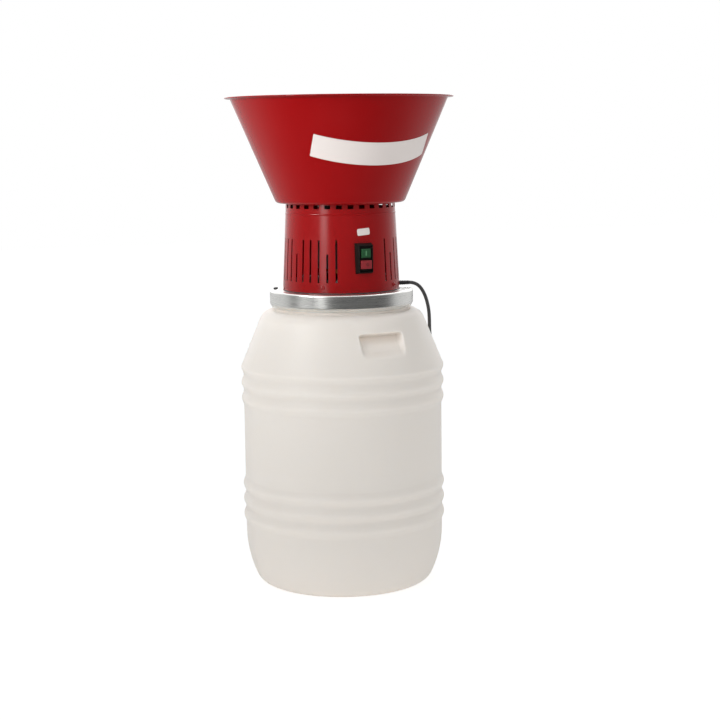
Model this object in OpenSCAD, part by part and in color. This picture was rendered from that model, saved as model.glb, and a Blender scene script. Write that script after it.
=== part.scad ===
// Electric grain mill: a hopper, motor and grinding chamber on a lid that stands on a flour barrel.
// Millimetres, +Z up. The origin is the centre of the barrel's foot, and the switch faces -Y.

/* [Barrel] */
// Outer radius of the wall between its ribs
barrel_r = 176.5; // [165:0.5:190]
// Thickness of the wall
barrel_wall = 3; // [2:0.25:5]
// How far a rib stands out of the wall
rib_h = 4; // [2:0.25:7]
// Height of one rib from groove to groove
rib_pitch = 28; // [22:0.5:32]
// Ribs in each band
rib_count = 3; // [2:1:3]
// Height of the lowest rib's crest
low_rib_z = 122; // [115:1:150]
// Height of the top rib's crest, where the shoulder starts
shoulder_foot_z = 388.5; // [370:0.5:405]
// Height of the ledge at the top of the shoulder
shoulder_z = 489; // [480:1:492]
// Radius of the shoulder's upper corner
shoulder_corner = 26; // [15:1:35]
// Width of the ledge between the neck and that corner
ledge_w = 0.5; // [0.5:0.5:6]
// Radius of the sweep that draws the wall in towards the foot
base_sweep_r = 195; // [150:5:240]
// Height at which that sweep starts
base_sweep_z = 95; // [60:1:100]
// Radius of the foot's corner
foot_corner = 23; // [8:1:24]
// Turn of the grip pockets from the front
grip_turn = 4; // [-10:1:10]
// Width of a grip pocket
grip_w = 82; // [70:1:95]
// Height of a grip pocket's lower edge
grip_z = 420; // [412:1:425]
// Height of a grip pocket
grip_h = 38; // [30:1:40]
// Depth of a grip pocket at its top
grip_depth = 22; // [14:1:26]
// Depth of a grip pocket at its lower edge
grip_lip = 7; // [5:0.5:9]

/* [Lid] */
// Height of the lid's top face
lid_top_z = 523.5; // [518:0.5:536]
// Outer radius of the lid
lid_r = 127; // [120:0.5:132]
// Height of the lid's skirt
lid_h = 28.5; // [20:0.5:32]
// Thickness of the lid's sheet
lid_t = 1.2; // [0.8:0.1:2]
// Radius of the lid's top edge
lid_corner = 4; // [2:0.5:6]
// Radius of the bead rolled along the skirt's lower edge
lid_bead_r = 1.5; // [1:0.1:2.5]
// Gap between the skirt and the barrel's neck
neck_gap = 4.3; // [2.5:0.1:6]
// Thickness of the gasket between the lid and the barrel's mouth
gasket_t = 3; // [2:0.5:5]
// How far the gasket reaches past both faces of the neck
gasket_lap = 1.25; // [0.5:0.25:1.5]

/* [Housing] */
// Height of the motor housing
housing_h = 153; // [152:1:165]
// Outer radius of the motor housing at the lid
housing_foot_r = 103.5; // [100:0.5:108]
// Outer radius of the motor housing at the hopper
housing_top_r = 96; // [93:0.5:100]
// Thickness of the housing's sheet
housing_t = 1.2; // [0.8:0.1:2]
// Width of the flange turned in at the housing's top
housing_flange_w = 15; // [13:0.5:17]
// Width of a vent slot
vent_w = 3.5; // [2.5:0.25:5]
// Height of the vent slots' lower ends above the lid
vent_foot = 19; // [17:1:26]
// Length of a long vent slot
vent_long = 73; // [60:1:85]
// Length of a short vent slot
vent_short = 48.5; // [35:0.5:58]
// Places for vent slots round the housing
vent_count = 40; // [30:1:44]
// Vent places left out on each side of the switch
vent_blank = 2; // [2:1:4]
// Every how many places a vent slot is short
vent_short_every = 4; // [2:1:6]
// Windows under the housing's flange
window_count = 30; // [20:1:34]
// Width of a window
window_w = 10.3; // [7:0.1:13]
// Height of a window
window_h = 6.5; // [4:0.5:9]
// Bridge of sheet between a window and the flange
window_drop = 0.5; // [0.5:0.25:2]
// Width of the collar's foot on the lid
ring_w = 16; // [12:1:20]
// Height of the collar that the housing is screwed to
ring_h = 16; // [13:1:17]
// Thickness of the collar's sheet
ring_t = 1.5; // [1:0.1:1.6]
// Height of the housing screws above the lid
housing_screw_h = 10.5; // [8:0.5:11]
// Angle of the housing screws from the front and from the back
housing_screw_turn = 40.5; // [32:0.5:58]
// Radius of a housing screw's shank
housing_screw_r = 2; // [1.5:0.25:2.5]

/* [Hopper] */
// Height of the hopper
hopper_h = 183.5; // [150:0.5:210]
// Radius at which the floor and the cone would meet
hopper_floor_r = 113; // [108:0.5:118]
// Outer radius of the cone at the rim
hopper_mouth_r = 191; // [180:0.5:192]
// Outer radius of the rim
hopper_rim_r = 200; // [196:0.5:206]
// Thickness of the hopper's sheet
hopper_t = 1.2; // [0.8:0.1:2]
// Outer radius of the corner between floor and cone
hopper_corner = 8; // [5:0.5:12]
// Radius of the bead rolled along the rim
rim_bead_r = 1.4; // [1.2:0.1:3]
// Screws that hold the hopper to the housing
hopper_screw_count = 4; // [3:1:6]
// Radius of a hopper screw's shank
hopper_screw_r = 2.5; // [2:0.25:3]

/* [Feed] */
// Distance of the feed hole from the axis
feed_r = 62; // [61:0.5:64]
// Inner radius of the feed chute
chute_r = 15; // [12:0.5:16]
// Wall of the feed chute
chute_t = 1.2; // [0.8:0.1:1.8]
// Width of the collar under the hopper's floor
chute_collar_w = 4; // [3:0.5:6]
// Thickness of that collar
chute_collar_t = 2; // [1.2:0.1:3]
// Thickness of the gate
gate_t = 1.5; // [1:0.1:2.5]
// Overlap of the gate round the feed hole
gate_lap = 4; // [3:0.5:5]
// Radius of the gate's hub
gate_hub_r = 13; // [10:0.5:16]
// Turn of the gate from shut to open
gate_swing = 45; // [42:1:60]
// Radius of the gate's pivot bolt
pivot_r = 4; // [3:0.25:5]
// Height of the gate's knob
knob_h = 18; // [12:1:25]
// Radius of the gate's knob
knob_r = 8; // [6:0.5:10]

/* [Motor] */
// Radius of the stator and its brackets
motor_r = 44; // [42:0.5:44]
// Height of the stator's iron
stack_h = 45; // [35:1:50]
// Radius of the armature's iron
armature_r = 25; // [22:0.5:26]
// Air gap between the armature and the stator
air_gap = 0.6; // [0.4:0.1:1]
// Slots in the armature
armature_slots = 12; // [8:1:14]
// Radius of the shaft
shaft_r = 6; // [5:0.25:7]
// Radius of the shaft's upper journal
journal_r = 4; // [3:0.25:4.5]
// Thickness of the lower bracket's plate
base_t = 6; // [5:0.5:8]
// Outer radius of the lower bearing
low_bearing_r = 16; // [15:0.5:17]
// Height of the lower bearing
low_bearing_h = 10; // [8:0.5:11]
// Outer radius of the upper bearing
top_bearing_r = 11; // [10:0.5:12]
// Height of the upper bearing and its bracket
top_bearing_h = 7; // [6:0.5:9]
// Radius of the cooling fan
fan_r = 30; // [26:0.5:31]
// Height of the cooling fan
fan_h = 10; // [7:0.5:11]
// Vanes of the cooling fan
fan_vanes = 9; // [7:1:11]
// Radius of the commutator
comm_r = 12; // [11:0.5:14]
// Height of the commutator
comm_h = 16; // [14:0.5:20]
// Bars of the commutator
comm_bars = 24; // [16:1:28]
// Distance of the motor's long bolts from the axis
bolt_reach = 37; // [36.5:0.5:38]
// Radius of the motor's long bolts
bolt_r = 2.5; // [2:0.25:3]

/* [Grinding chamber] */
// Thickness of the plate under the lid and of the chamber's floor
plate_t = 2; // [1.5:0.25:3]
// Radius of that plate and floor
plate_r = 100; // [99:0.5:103]
// Outer radius of the sieve
sieve_r = 87; // [84:0.5:88]
// Thickness of the sieve's sheet
sieve_t = 1; // [0.6:0.1:1.5]
// Height of the sieve
sieve_h = 40; // [36:1:44]
// Holes in one row of the sieve
sieve_holes = 36; // [24:1:40]
// Rows of holes
sieve_rows = 3; // [2:1:3]
// Radius of a sieve hole
sieve_hole_r = 3; // [2:0.25:4]
// Distance of the sieve's studs from the axis
stud_reach = 93; // [93:0.5:94]
// Radius of a sieve stud
stud_r = 3; // [2.5:0.25:3.5]
// Reach of the beater's arms
beater_r = 80; // [70:0.5:82]
// Width of a beater arm
beater_w = 24; // [18:0.5:30]
// Thickness of the beater
beater_t = 5; // [3:0.5:7]
// Height of the beater above the chamber's floor
beater_lift = 16; // [14.5:0.5:20]

/* [Switch] */
// Height of the switch's middle above the lid
switch_h_above_lid = 60; // [55:0.5:75]
// Width of the switch's frame at the housing
switch_w = 32; // [30:0.5:36]
// Height of the switch's frame
switch_h = 53.5; // [49:0.5:56]
// Width of the switch's front
switch_face_w = 25.5; // [24.5:0.5:28]
// How far the switch's front stands out of the housing
switch_depth = 12.5; // [10:0.5:16]
// Width of the switch's works behind the frame
works_w = 22.5; // [22:0.25:23]
// Height of the switch's works
works_h = 44; // [41:0.5:45]
// How far the works reach into the housing
works_reach = 32; // [28:1:36]
// Width of the start button
start_w = 17; // [14:0.5:20]
// Height of the start button
start_h = 15.5; // [13:0.5:16]
// Width of the stop button
stop_w = 20; // [16:0.5:20]
// Height of the stop button
stop_h = 14.5; // [13:0.5:16]
// Distance between the buttons' middles
button_step = 19.5; // [19:0.25:21]
// Travel of a button
button_travel = 4; // [2:0.25:5]
// Length of a button from its front to its back
button_l = 12; // [10:0.5:14]
// How far the stop button stands proud of the frame
stop_proud = 1.5; // [0.5:0.25:3]

/* [Mains lead] */
// Diameter of the cord
cord_d = 6.25; // [6:0.25:6.5]
// Angle at which the cord leaves, from the front
cord_turn = 82; // [75:1:90]
// Height of the cord above the lid where it leaves
cord_rise = 6.75; // [6.5:0.25:9]
// Length of the tapered boot
boot_l = 20; // [20:1:22]
// Radius of the boot at the housing
boot_r = 4.2; // [4:0.1:4.4]
// Distance of the coil's middle from the axis
coil_reach = 224.6; // [220:0.1:230]
// Radius of the coil's outermost turn
coil_r = 44.5; // [43:0.5:46]
// Spacing of the coil's turns and layers
coil_pitch = 7; // [6.9:0.1:7.3]
// Turns that spiral in, and nearly as many that spiral out
coil_turns = 1.85; // [1.5:0.05:1.9]
// Straight length between the coil and the plug's boot
coil_tail = 34; // [30:1:45]
// Thickness of the tie round the coil
tie_t = 1; // [0.6:0.1:1.1]
// Width of the tie
tie_w = 8; // [5:0.5:12]
// Length of the plug's boot
plug_boot_l = 28; // [20:1:40]
// Length of the plug's body
plug_l = 38; // [32:1:45]
// Width of the plug's body
plug_w = 37; // [34:0.5:40]
// Radius of a plug pin
pin_r = 2.4; // [2:0.1:2.5]
// Length of a plug pin
pin_l = 19; // [17:0.5:20]
// Distance between the plug pins
pin_step = 19; // [18:0.5:20]

/* [Fits] */
// Radial gap between a shaft and its bore
running_fit = 0.05; // [0.02:0.01:0.1]
// Gap between fixed pieces that sit in each other
snug = 0.05; // [0.02:0.01:0.1]
// Gap between pieces that move past each other
slip = 0.3; // [0.2:0.05:0.5]
// Gap round a screw's shank
screw_play = 0.2; // [0.1:0.05:0.4]

/* [Hidden] */
$fn = 96;
// How far a cutting shape runs past the face that it opens
past = 1;
// Colours of the pieces
plastic_white = [0.88, 0.85, 0.82];
paint_red = [0.60, 0.08, 0.09];
steel = [0.72, 0.73, 0.74];
dark_steel = [0.35, 0.36, 0.38];
black = [0.06, 0.06, 0.065];
copper = [0.72, 0.42, 0.22];
brass = [0.78, 0.62, 0.30];
aluminium = [0.78, 0.79, 0.80];

// Barrel outline
neck_r = lid_r - lid_t - neck_gap;
mouth_z = lid_top_z - lid_t - gasket_t - slip;
rib_steps = 8;
foot_arc_steps = 6;
sweep_steps = 10;
bead_steps = 16;
sweep_drop = base_sweep_z - foot_corner;
sweep_reach = base_sweep_r - foot_corner;
foot_r = barrel_r - base_sweep_r + sqrt(sweep_reach * sweep_reach - sweep_drop * sweep_drop);
sweep_turn = -asin(sweep_drop / sweep_reach);
shoulder_c = [neck_r + ledge_w, shoulder_z - shoulder_corner];
shoulder_p = [barrel_r + rib_h, shoulder_foot_z];
shoulder_v = shoulder_p - shoulder_c;
shoulder_tilt = atan2(shoulder_v[1], shoulder_v[0]) + acos(shoulder_corner / norm(shoulder_v));
grip_top_z = grip_z + grip_h;

// Housing and hopper
hopper_z = lid_top_z + housing_h;
hopper_top_z = hopper_z + hopper_h;
flange_r = housing_top_r - housing_flange_w;
floor_top_z = hopper_z + hopper_t;
hopper_nut_r = 4.4;
hopper_nut_h = 3.2;
hopper_screw_reach = housing_top_r - housing_t - hopper_nut_r - past;
rim_z = hopper_top_z - rim_bead_r - hopper_t / 2;
cone_tilt = atan((hopper_mouth_r - hopper_floor_r) / (rim_z - hopper_z));
chute_out_r = chute_r + chute_t;
feed_turn = 180;

// Heights of the motor
bearing_lift = 4;
fan_z = lid_top_z + bearing_lift + low_bearing_h + 3.5;
coil_over = 8;
stack_z = fan_z + fan_h + coil_over + 2.5;
stack_top_z = stack_z + stack_h;
comm_z = stack_top_z + coil_over + 3;
bracket_z = comm_z + comm_h + 4;
brush_z = comm_z + comm_h / 2;

// Heights of the grinding chamber
plate_z = lid_top_z - lid_t - plate_t;
chamber_z = plate_z - sieve_h;
beater_z = chamber_z + beater_lift;
seal_r = 13;
seal_h = lid_t + plate_t + 1;
motor_bolt_reach = motor_r - 6;
motor_bolt_turns = [45, 135, 225, 315];
stud_turns = [30, 150, 270];

// Switch
switch_z = lid_top_z + switch_h_above_lid;
switch_r = housing_r(switch_z);
switch_face = switch_r + switch_depth;
works_front = switch_face - 3;
works_back = switch_r - works_reach;
start_z = switch_z + button_step / 2;
stop_z = switch_z - button_step / 2;
start_front = switch_face - slip;
stop_front = switch_face + stop_proud;
well_back = works_back + 8;
button_spring_r = 4;
button_spring_wire = 0.8;
button_spring_curls = 6;

// Cord, coil and plug
cord_r = cord_d / 2;
gland_z = lid_top_z + cord_rise;
gland_r = housing_r(gland_z);
gland_flange_t = 2.5;
gland_nut_r = boot_r + 0.6;
gland_nut_t = 4;
boot_lip = 0.4;
gland_inner = housing_t + ring_t + 2 * snug + past;
boot_end = gland_r + gland_flange_t + boot_l;
cord_sides = 10;
cord_steps = 2;
coil_sides = 6;
coil_rings = 24;
coil_turn = 156.6;
coil_z = 4.6;
coil_entry = 13;
coil_exit = 67.5;
coil_layer_z = coil_z + coil_pitch;
coil_in_r = coil_r - coil_pitch * coil_turns;
coil_total = 4 + (coil_exit - coil_entry) / 360;
coil_out_turns = coil_total - coil_turns - 0.5;
coil_out_r = coil_in_r + coil_pitch * coil_out_turns;
plug_half = coil_layer_z;
// The free stretch between the boot and the coil: angle from the front, distance from the axis, height
cord_route = [
  [82, 131, 529.75], [82.05, 136.4, 528.2], [82.15, 141.5, 525.5], [82.3, 146.2, 521.5], [82.5, 150.3, 516.3],
  [82.7, 154, 510.1], [82.95, 157.3, 502.9], [83.3, 160.3, 494.5], [83.75, 162.9, 485], [84.35, 165, 475],
  [85.1, 166.5, 464], [86.1, 167.9, 453], [87.5, 169.8, 442.3], [89.2, 172.7, 431.5], [91.1, 176.6, 420],
  [93.1, 181, 408], [95.3, 185, 395.5], [97.7, 187.8, 381], [100.2, 189.4, 365], [102.8, 190, 345],
  [105.2, 190, 320], [107.6, 190, 290], [110, 190, 260], [112.4, 190, 230], [114.8, 190, 200],
  [117, 190, 170], [119, 190, 140], [120.7, 190, 110], [122.2, 190, 80], [123.8, 190.5, 52],
  [125.8, 192, 30], [128.6, 196, 14], [132, 203, 6], [136, 213, 4.2], [140, 223, 4.2], [144, 236, 4.5]
];
// The lead inside the housing, between the strain relief and the switch
lead_r = 2.5;
lead_route = [
  [81, 86, 531], [77, 80.5, 533.5], [70, 78.5, 538], [60, 78.5, 545.5], [48, 78.5, 554.5],
  [36, 78.5, 563.5], [24, 79.5, 570.5]
];

// Points and curves

function housing_r(z) =
  housing_foot_r + (housing_top_r - housing_foot_r) * (z - lid_top_z) / housing_h;

function arc(c, r, from, to, steps) =
  [for (i = [0 : steps]) let (a = from + (to - from) * i / steps) c + r * [cos(a), sin(a)]];

function tail(list) = [for (i = [1 : len(list) - 1]) list[i]];

function rib(z, crest) = rib_h * (1 + cos(360 * (z - crest) / rib_pitch)) / 2;

// Heights of points over a band of ribs whose first crest is given, for so many rib heights
function band(crest, ribs) =
  [for (i = [0 : ribs * rib_steps]) crest - rib_pitch / 2 + i * rib_pitch / rib_steps];

function shoulder_r(z) = shoulder_p[0] - (z - shoulder_foot_z) * tan(shoulder_tilt);

// The barrel's outline from its foot to its mouth, moved inwards
function barrel_line(inset, top) =
  let (high_rib_z = shoulder_foot_z - (rib_count - 1) * rib_pitch)
  concat(
    [[0, inset]],
    arc([foot_r, foot_corner], foot_corner - inset, -90, sweep_turn, foot_arc_steps),
    tail(arc([barrel_r - base_sweep_r, base_sweep_z], base_sweep_r - inset, sweep_turn, 0, sweep_steps)),
    [for (z = band(low_rib_z, rib_count)) [barrel_r - inset + rib(z, low_rib_z), z]],
    [for (z = band(high_rib_z, rib_count - 0.5 - 1 / rib_steps)) [barrel_r - inset + rib(z, high_rib_z), z]],
    [shoulder_p - inset * [cos(shoulder_tilt), sin(shoulder_tilt)]],
    arc(shoulder_c, shoulder_corner - inset, shoulder_tilt, 90, foot_arc_steps),
    [[neck_r - inset, shoulder_z - inset], [neck_r - inset, top], [0, top]]
  );

// A point given by its angle from the front, distance from the axis and height
function polar(p) = [p[1] * sin(p[0]), -p[1] * cos(p[0]), p[2]];

// A smooth curve through the points, with so many steps between two of them
function smooth(p, steps) =
  let (n = len(p) - 1)
  concat(
    [for (i = [0 : n - 1]) for (k = [0 : steps - 1])
      let (t = k / steps, a = p[max(i - 1, 0)], b = p[i], c = p[i + 1], d = p[min(i + 2, n)])
      ((2 * b) + (c - a) * t + (2 * a - 5 * b + 4 * c - d) * t * t
        + (3 * b - a - 3 * c + d) * t * t * t) / 2],
    [p[n]]
  );

function unit(v) = v / norm(v);

// The direction of a path at each of its points
function headings(p) =
  let (n = len(p) - 1)
  [for (i = [0 : n]) unit(p[min(i + 1, n)] - p[max(i - 1, 0)])];

// A sideways direction for each point, carried along the path without twist
function sides(h, i = 0, s = undef) =
  let (
    first = abs(h[0][2]) < 0.9 ? [0, 0, 1] : [1, 0, 0],
    old = s == undef ? first : s,
    now = unit(old - (old * h[i]) * h[i])
  )
  i == len(h) - 1 ? [now] : concat([now], sides(h, i + 1, now));

// A closed tube of one radius along a path
module tube(path, r, count) {
  h = headings(path);
  s = sides(h);
  rings = len(path);
  points = [for (i = [0 : rings - 1]) for (k = [0 : count - 1])
    let (a = 360 * k / count) path[i] + r * (cos(a) * s[i] + sin(a) * cross(h[i], s[i]))];
  walls = [for (i = [0 : rings - 2]) for (k = [0 : count - 1])
    let (a = i * count + k, b = i * count + (k + 1) % count)
    each [[a, a + count, b], [b, a + count, b + count]]];
  ends = [for (k = [1 : count - 2])
    each [[0, k, k + 1], [rings * count - count, rings * count - count + k + 1, rings * count - count + k]]];
  polyhedron(points = points, faces = concat(walls, ends));
}

// A helix along +X from the origin
function helix(r, length, curls, rings) =
  [for (i = [0 : curls * rings])
    let (a = 360 * i / rings) [length * i / (curls * rings), r * cos(a), r * sin(a)]];

// The coil's middle and its path: in on the lower layer, up in the half turn, and out on the upper one
coil_c = polar([coil_turn, coil_reach, 0]);
function coil_radius(t) =
  t < coil_turns ? coil_r - coil_pitch * t
  : t < coil_turns + 0.5
    ? let (s = (t - coil_turns) / 0.5) coil_in_r - coil_pitch * (s - s * s) / 2
    : coil_in_r + coil_pitch * (t - coil_turns - 0.5);
function coil_height(t) =
  coil_z + coil_pitch * min(1, max(0, (t - coil_turns) / 0.5));
function coil_point(t) =
  let (a = coil_entry + 360 * t)
  coil_c + [coil_radius(t) * cos(a), coil_radius(t) * sin(a), coil_height(t)];
coil_steps = ceil(coil_total * coil_rings);
coil_wound = [for (i = [0 : coil_steps]) coil_point(coil_total * i / coil_steps)];
coil_in_way = [-sin(coil_entry), cos(coil_entry), 0];
coil_out_way = [-sin(coil_exit), cos(coil_exit), 0];
coil_path = concat(
  [coil_wound[0] - cord_d * coil_in_way], coil_wound, [coil_wound[coil_steps] + coil_tail * coil_out_way]
);
// The least gap between two turns, measured between points over half a turn apart
coil_gap = min([for (i = [0 : coil_steps]) for (k = [i + coil_rings / 2 : 1 : coil_steps])
  norm(coil_wound[i] - coil_wound[k])]) - cord_d;
echo(coil_least_gap = coil_gap);
plug_start = coil_path[len(coil_path) - 1];

// Shared shapes

// Turns its children so that their +X looks out at an angle from the front
module toward(turn) {
  rotate([0, 0, turn - 90]) children();
}

// A ring with a square section, standing on z = 0
module ring(r_in, r_out, h) {
  rotate_extrude() translate([r_in, 0]) square([r_out - r_in, h]);
}

// A ring's sector, centred on +X
module sector(r_in, r_out, h, turn) {
  rotate([0, 0, -turn / 2]) rotate_extrude(angle = turn) translate([r_in, 0]) square([r_out - r_in, h]);
}

// A hole along +Z through a plate from z = 0 up
module hole(r, h) {
  translate([0, 0, -past]) cylinder(r = r, h = h + 2 * past);
}

// A round rod along +X from a distance to another
module rod(r, from, to) {
  translate([from, 0, 0]) rotate([0, 90, 0]) cylinder(r = r, h = to - from);
}

// A box along +X, centred across
module bar(from, to, w, h) {
  translate([from, -w / 2, -h / 2]) cube([to - from, w, h]);
}

// Barrel

module grip_block(inset) {
  outline = [
    [shoulder_r(grip_top_z) - grip_depth - inset, grip_top_z + inset],
    [barrel_r, grip_top_z + inset],
    [barrel_r, grip_z - inset],
    [shoulder_r(grip_z) - grip_lip - inset, grip_z - inset]
  ];
  for (side = [0, 180])
    toward(grip_turn + side) rotate([90, 0, 0])
      linear_extrude(grip_w + 2 * inset, center = true) polygon(outline);
}

module barrel() {
  color(plastic_white) difference() {
    rotate_extrude() polygon(barrel_line(0, mouth_z));
    difference() {
      rotate_extrude() polygon(barrel_line(barrel_wall, mouth_z + past));
      grip_block(barrel_wall);
    }
    grip_block(0);
  }
}

// Lid and what stands on it

module feed_hole(z, h) {
  toward(feed_turn) translate([feed_r, 0, z]) hole(chute_out_r + snug, h);
}

module motor_bolt_holes(z, h) {
  for (turn = motor_bolt_turns)
    toward(turn) translate([motor_bolt_reach, 0, z]) hole(bolt_r + screw_play, h);
}

module lid() {
  corner = [lid_r - lid_corner, lid_top_z - lid_corner];
  bead = [lid_r - lid_t / 2, lid_top_z - lid_h];
  bead_turn = acos(lid_t / 2 / lid_bead_r);
  outline = concat(
    [[0, lid_top_z]],
    arc(corner, lid_corner, 90, 0, foot_arc_steps),
    arc(bead, lid_bead_r, bead_turn, -180 - bead_turn, bead_steps),
    arc(corner, lid_corner - lid_t, 0, 90, foot_arc_steps),
    [[0, lid_top_z - lid_t]]
  );
  color(steel) difference() {
    rotate_extrude() polygon(outline);
    feed_hole(lid_top_z - lid_t, lid_t);
    motor_bolt_holes(lid_top_z - lid_t, lid_t);
    translate([0, 0, lid_top_z - lid_t]) hole(seal_r + snug, lid_t);
  }
}

module lid_gasket() {
  color(black) translate([0, 0, mouth_z + slip])
    ring(neck_r - barrel_wall - gasket_lap, neck_r + gasket_lap, gasket_t);
}

module mounting_ring() {
  foot = lid_top_z;
  top = lid_top_z + ring_h;
  inner = housing_t + snug;
  outline = [
    [housing_r(foot) - inner - ring_w, foot], [housing_r(foot) - inner, foot],
    [housing_r(top) - inner, top], [housing_r(top) - inner - ring_t, top],
    [housing_r(foot + ring_t) - inner - ring_t, foot + ring_t],
    [housing_r(foot) - inner - ring_w, foot + ring_t]
  ];
  color(dark_steel) difference() {
    rotate_extrude() polygon(outline);
    housing_screw_holes();
    gland_hole();
  }
}

// Motor housing

housing_screw_turns = [for (side = [-1, 1]) for (end = [0, 180]) side * (end - housing_screw_turn)];
housing_screw_z = lid_top_z + housing_screw_h;
housing_screw_head_r = 3.6;
housing_screw_head_t = 2.2;
housing_screw_l = 8;

module at_housing_screws() {
  for (turn = housing_screw_turns)
    toward(turn) translate([housing_r(housing_screw_z), 0, housing_screw_z]) children();
}

module housing_screw_holes() {
  at_housing_screws() rod(housing_screw_r + screw_play, -housing_screw_l - past, past);
}

module gland_hole() {
  toward(cord_turn) translate([gland_r, 0, gland_z]) rod(boot_r + snug, -boot_r, past);
}

module vent_slots() {
  for (i = [0 : vent_count - 1])
    if (min(i, vent_count - i) > vent_blank)
      toward(360 * i / vent_count)
        translate([flange_r, -vent_w / 2, lid_top_z + vent_foot])
          cube([housing_foot_r, vent_w, i % vent_short_every == 0 ? vent_short : vent_long]);
}

module windows() {
  for (i = [0 : window_count - 1])
    toward(360 * i / window_count)
      translate([flange_r, -window_w / 2, hopper_z - housing_t - window_drop - window_h])
        cube([housing_foot_r, window_w, window_h]);
}

module at_hopper_screws(z) {
  for (i = [0 : hopper_screw_count - 1])
    toward(45 + 360 * i / hopper_screw_count) translate([hopper_screw_reach, 0, z]) children();
}

module motor_housing() {
  flange_z = hopper_z - housing_t;
  outline = [
    [housing_foot_r - housing_t, lid_top_z], [housing_foot_r, lid_top_z], [housing_top_r, hopper_z],
    [flange_r, hopper_z], [flange_r, flange_z], [housing_r(flange_z) - housing_t, flange_z]
  ];
  color(paint_red) difference() {
    rotate_extrude() polygon(outline);
    vent_slots();
    windows();
    housing_screw_holes();
    gland_hole();
    translate([-works_w / 2 - snug, -switch_face, switch_z - works_h / 2 - snug])
      cube([works_w + 2 * snug, works_reach, works_h + 2 * snug]);
    toward(feed_turn) translate([feed_r, 0, flange_z])
      hole(chute_out_r + chute_collar_w + slip, housing_t);
    at_hopper_screws(flange_z) hole(hopper_screw_r + screw_play, housing_t);
  }
}

module housing_screws() {
  seat = 0.25;
  color(steel) at_housing_screws() {
    rod(housing_screw_r, -housing_screw_l, seat);
    rod(housing_screw_head_r, seat, seat + housing_screw_head_t);
  }
}

// Hopper and feed

module hopper() {
  corner = [hopper_floor_r - hopper_corner * tan((90 - cone_tilt) / 2), hopper_z + hopper_corner];
  inner_mouth = hopper_mouth_r - hopper_t / cos(cone_tilt);
  outline = concat(
    [[0, hopper_z]],
    arc(corner, hopper_corner, -90, -cone_tilt, foot_arc_steps),
    [
      [hopper_mouth_r, rim_z], [hopper_rim_r - rim_bead_r, rim_z],
      [hopper_rim_r - rim_bead_r, rim_z + hopper_t],
      [inner_mouth + hopper_t * tan(cone_tilt), rim_z + hopper_t]
    ],
    arc(corner, hopper_corner - hopper_t, -cone_tilt, -90, foot_arc_steps),
    [[0, floor_top_z]]
  );
  color(paint_red) difference() {
    rotate_extrude() union() {
      polygon(outline);
      translate([hopper_rim_r - rim_bead_r, rim_z + hopper_t / 2]) circle(rim_bead_r);
    }
    feed_hole(hopper_z, hopper_t);
    translate([0, 0, hopper_z]) hole(pivot_r + snug, hopper_t);
    at_hopper_screws(hopper_z) hole(hopper_screw_r + screw_play, hopper_t);
  }
}

module hopper_screws() {
  head_r = 4;
  head_t = 2.4;
  under = hopper_nut_h + housing_t + past;
  color(steel) at_hopper_screws(floor_top_z) {
    translate([0, 0, -hopper_t - under]) cylinder(r = hopper_screw_r, h = hopper_t + under);
    cylinder(r = head_r, h = head_t);
  }
}

module hopper_nuts() {
  color(steel) at_hopper_screws(hopper_z - housing_t - hopper_nut_h) difference() {
    cylinder(r = hopper_nut_r, h = hopper_nut_h, $fn = 6);
    hole(hopper_screw_r + snug, hopper_nut_h);
  }
}

gate_z = floor_top_z + slip;
gate_end_r = chute_r + gate_lap;
knob_reach = feed_r / 2 + 2;
gate_nut_t = 5;

module feed_gate() {
  color(steel) toward(feed_turn + gate_swing) translate([0, 0, gate_z]) difference() {
    linear_extrude(gate_t) {
      circle(gate_hub_r);
      translate([feed_r, 0]) circle(gate_end_r);
      polygon([[0, -gate_hub_r], [feed_r, -gate_end_r], [feed_r, gate_end_r], [0, gate_hub_r]]);
    }
    hole(pivot_r + running_fit, gate_t);
  }
}

module gate_knob() {
  waist = knob_r * 0.7;
  outline = [
    [0, 0], [knob_r, 0], [knob_r, 2], [waist, knob_h * 0.35], [waist, knob_h * 0.55],
    [knob_r, knob_h * 0.8], [knob_r * 0.9, knob_h], [0, knob_h]
  ];
  color(black) toward(feed_turn + gate_swing) translate([knob_reach, 0, gate_z + gate_t])
    rotate_extrude() polygon(outline);
}

module gate_pivot() {
  head_r = pivot_r + 4;
  head_t = 3;
  low = hopper_z - gate_nut_t - past;
  top = gate_z + gate_t + slip;
  color(steel) {
    translate([0, 0, low]) cylinder(r = pivot_r, h = top - low);
    translate([0, 0, top]) cylinder(r = head_r, h = head_t);
  }
}

module gate_nut() {
  color(steel) translate([0, 0, hopper_z - gate_nut_t]) difference() {
    cylinder(r = pivot_r + 3.5, h = gate_nut_t, $fn = 6);
    hole(pivot_r + snug, gate_nut_t);
  }
}

module feed_chute() {
  collar_r = chute_out_r + chute_collar_w;
  outline = [
    [chute_r, plate_z], [chute_out_r, plate_z], [chute_out_r, hopper_z - chute_collar_t],
    [collar_r, hopper_z - chute_collar_t], [collar_r, hopper_z], [chute_out_r, hopper_z],
    [chute_out_r, floor_top_z], [chute_r, floor_top_z]
  ];
  color(steel) toward(feed_turn) translate([feed_r, 0, 0]) rotate_extrude() polygon(outline);
}

// Motor

leg_r = 4.5;
bolt_turns = [90, 270];
coil_in = armature_r + air_gap + 3.4;
coil_out = motor_r - 6;
pole_turns = [0, 180];
coil_leg_turn = 50;
coil_leg_w = 18;
brush_turns = [0, 180];

module at_long_bolts(z) {
  for (turn = bolt_turns) toward(turn) translate([bolt_reach, 0, z]) children();
}

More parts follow.
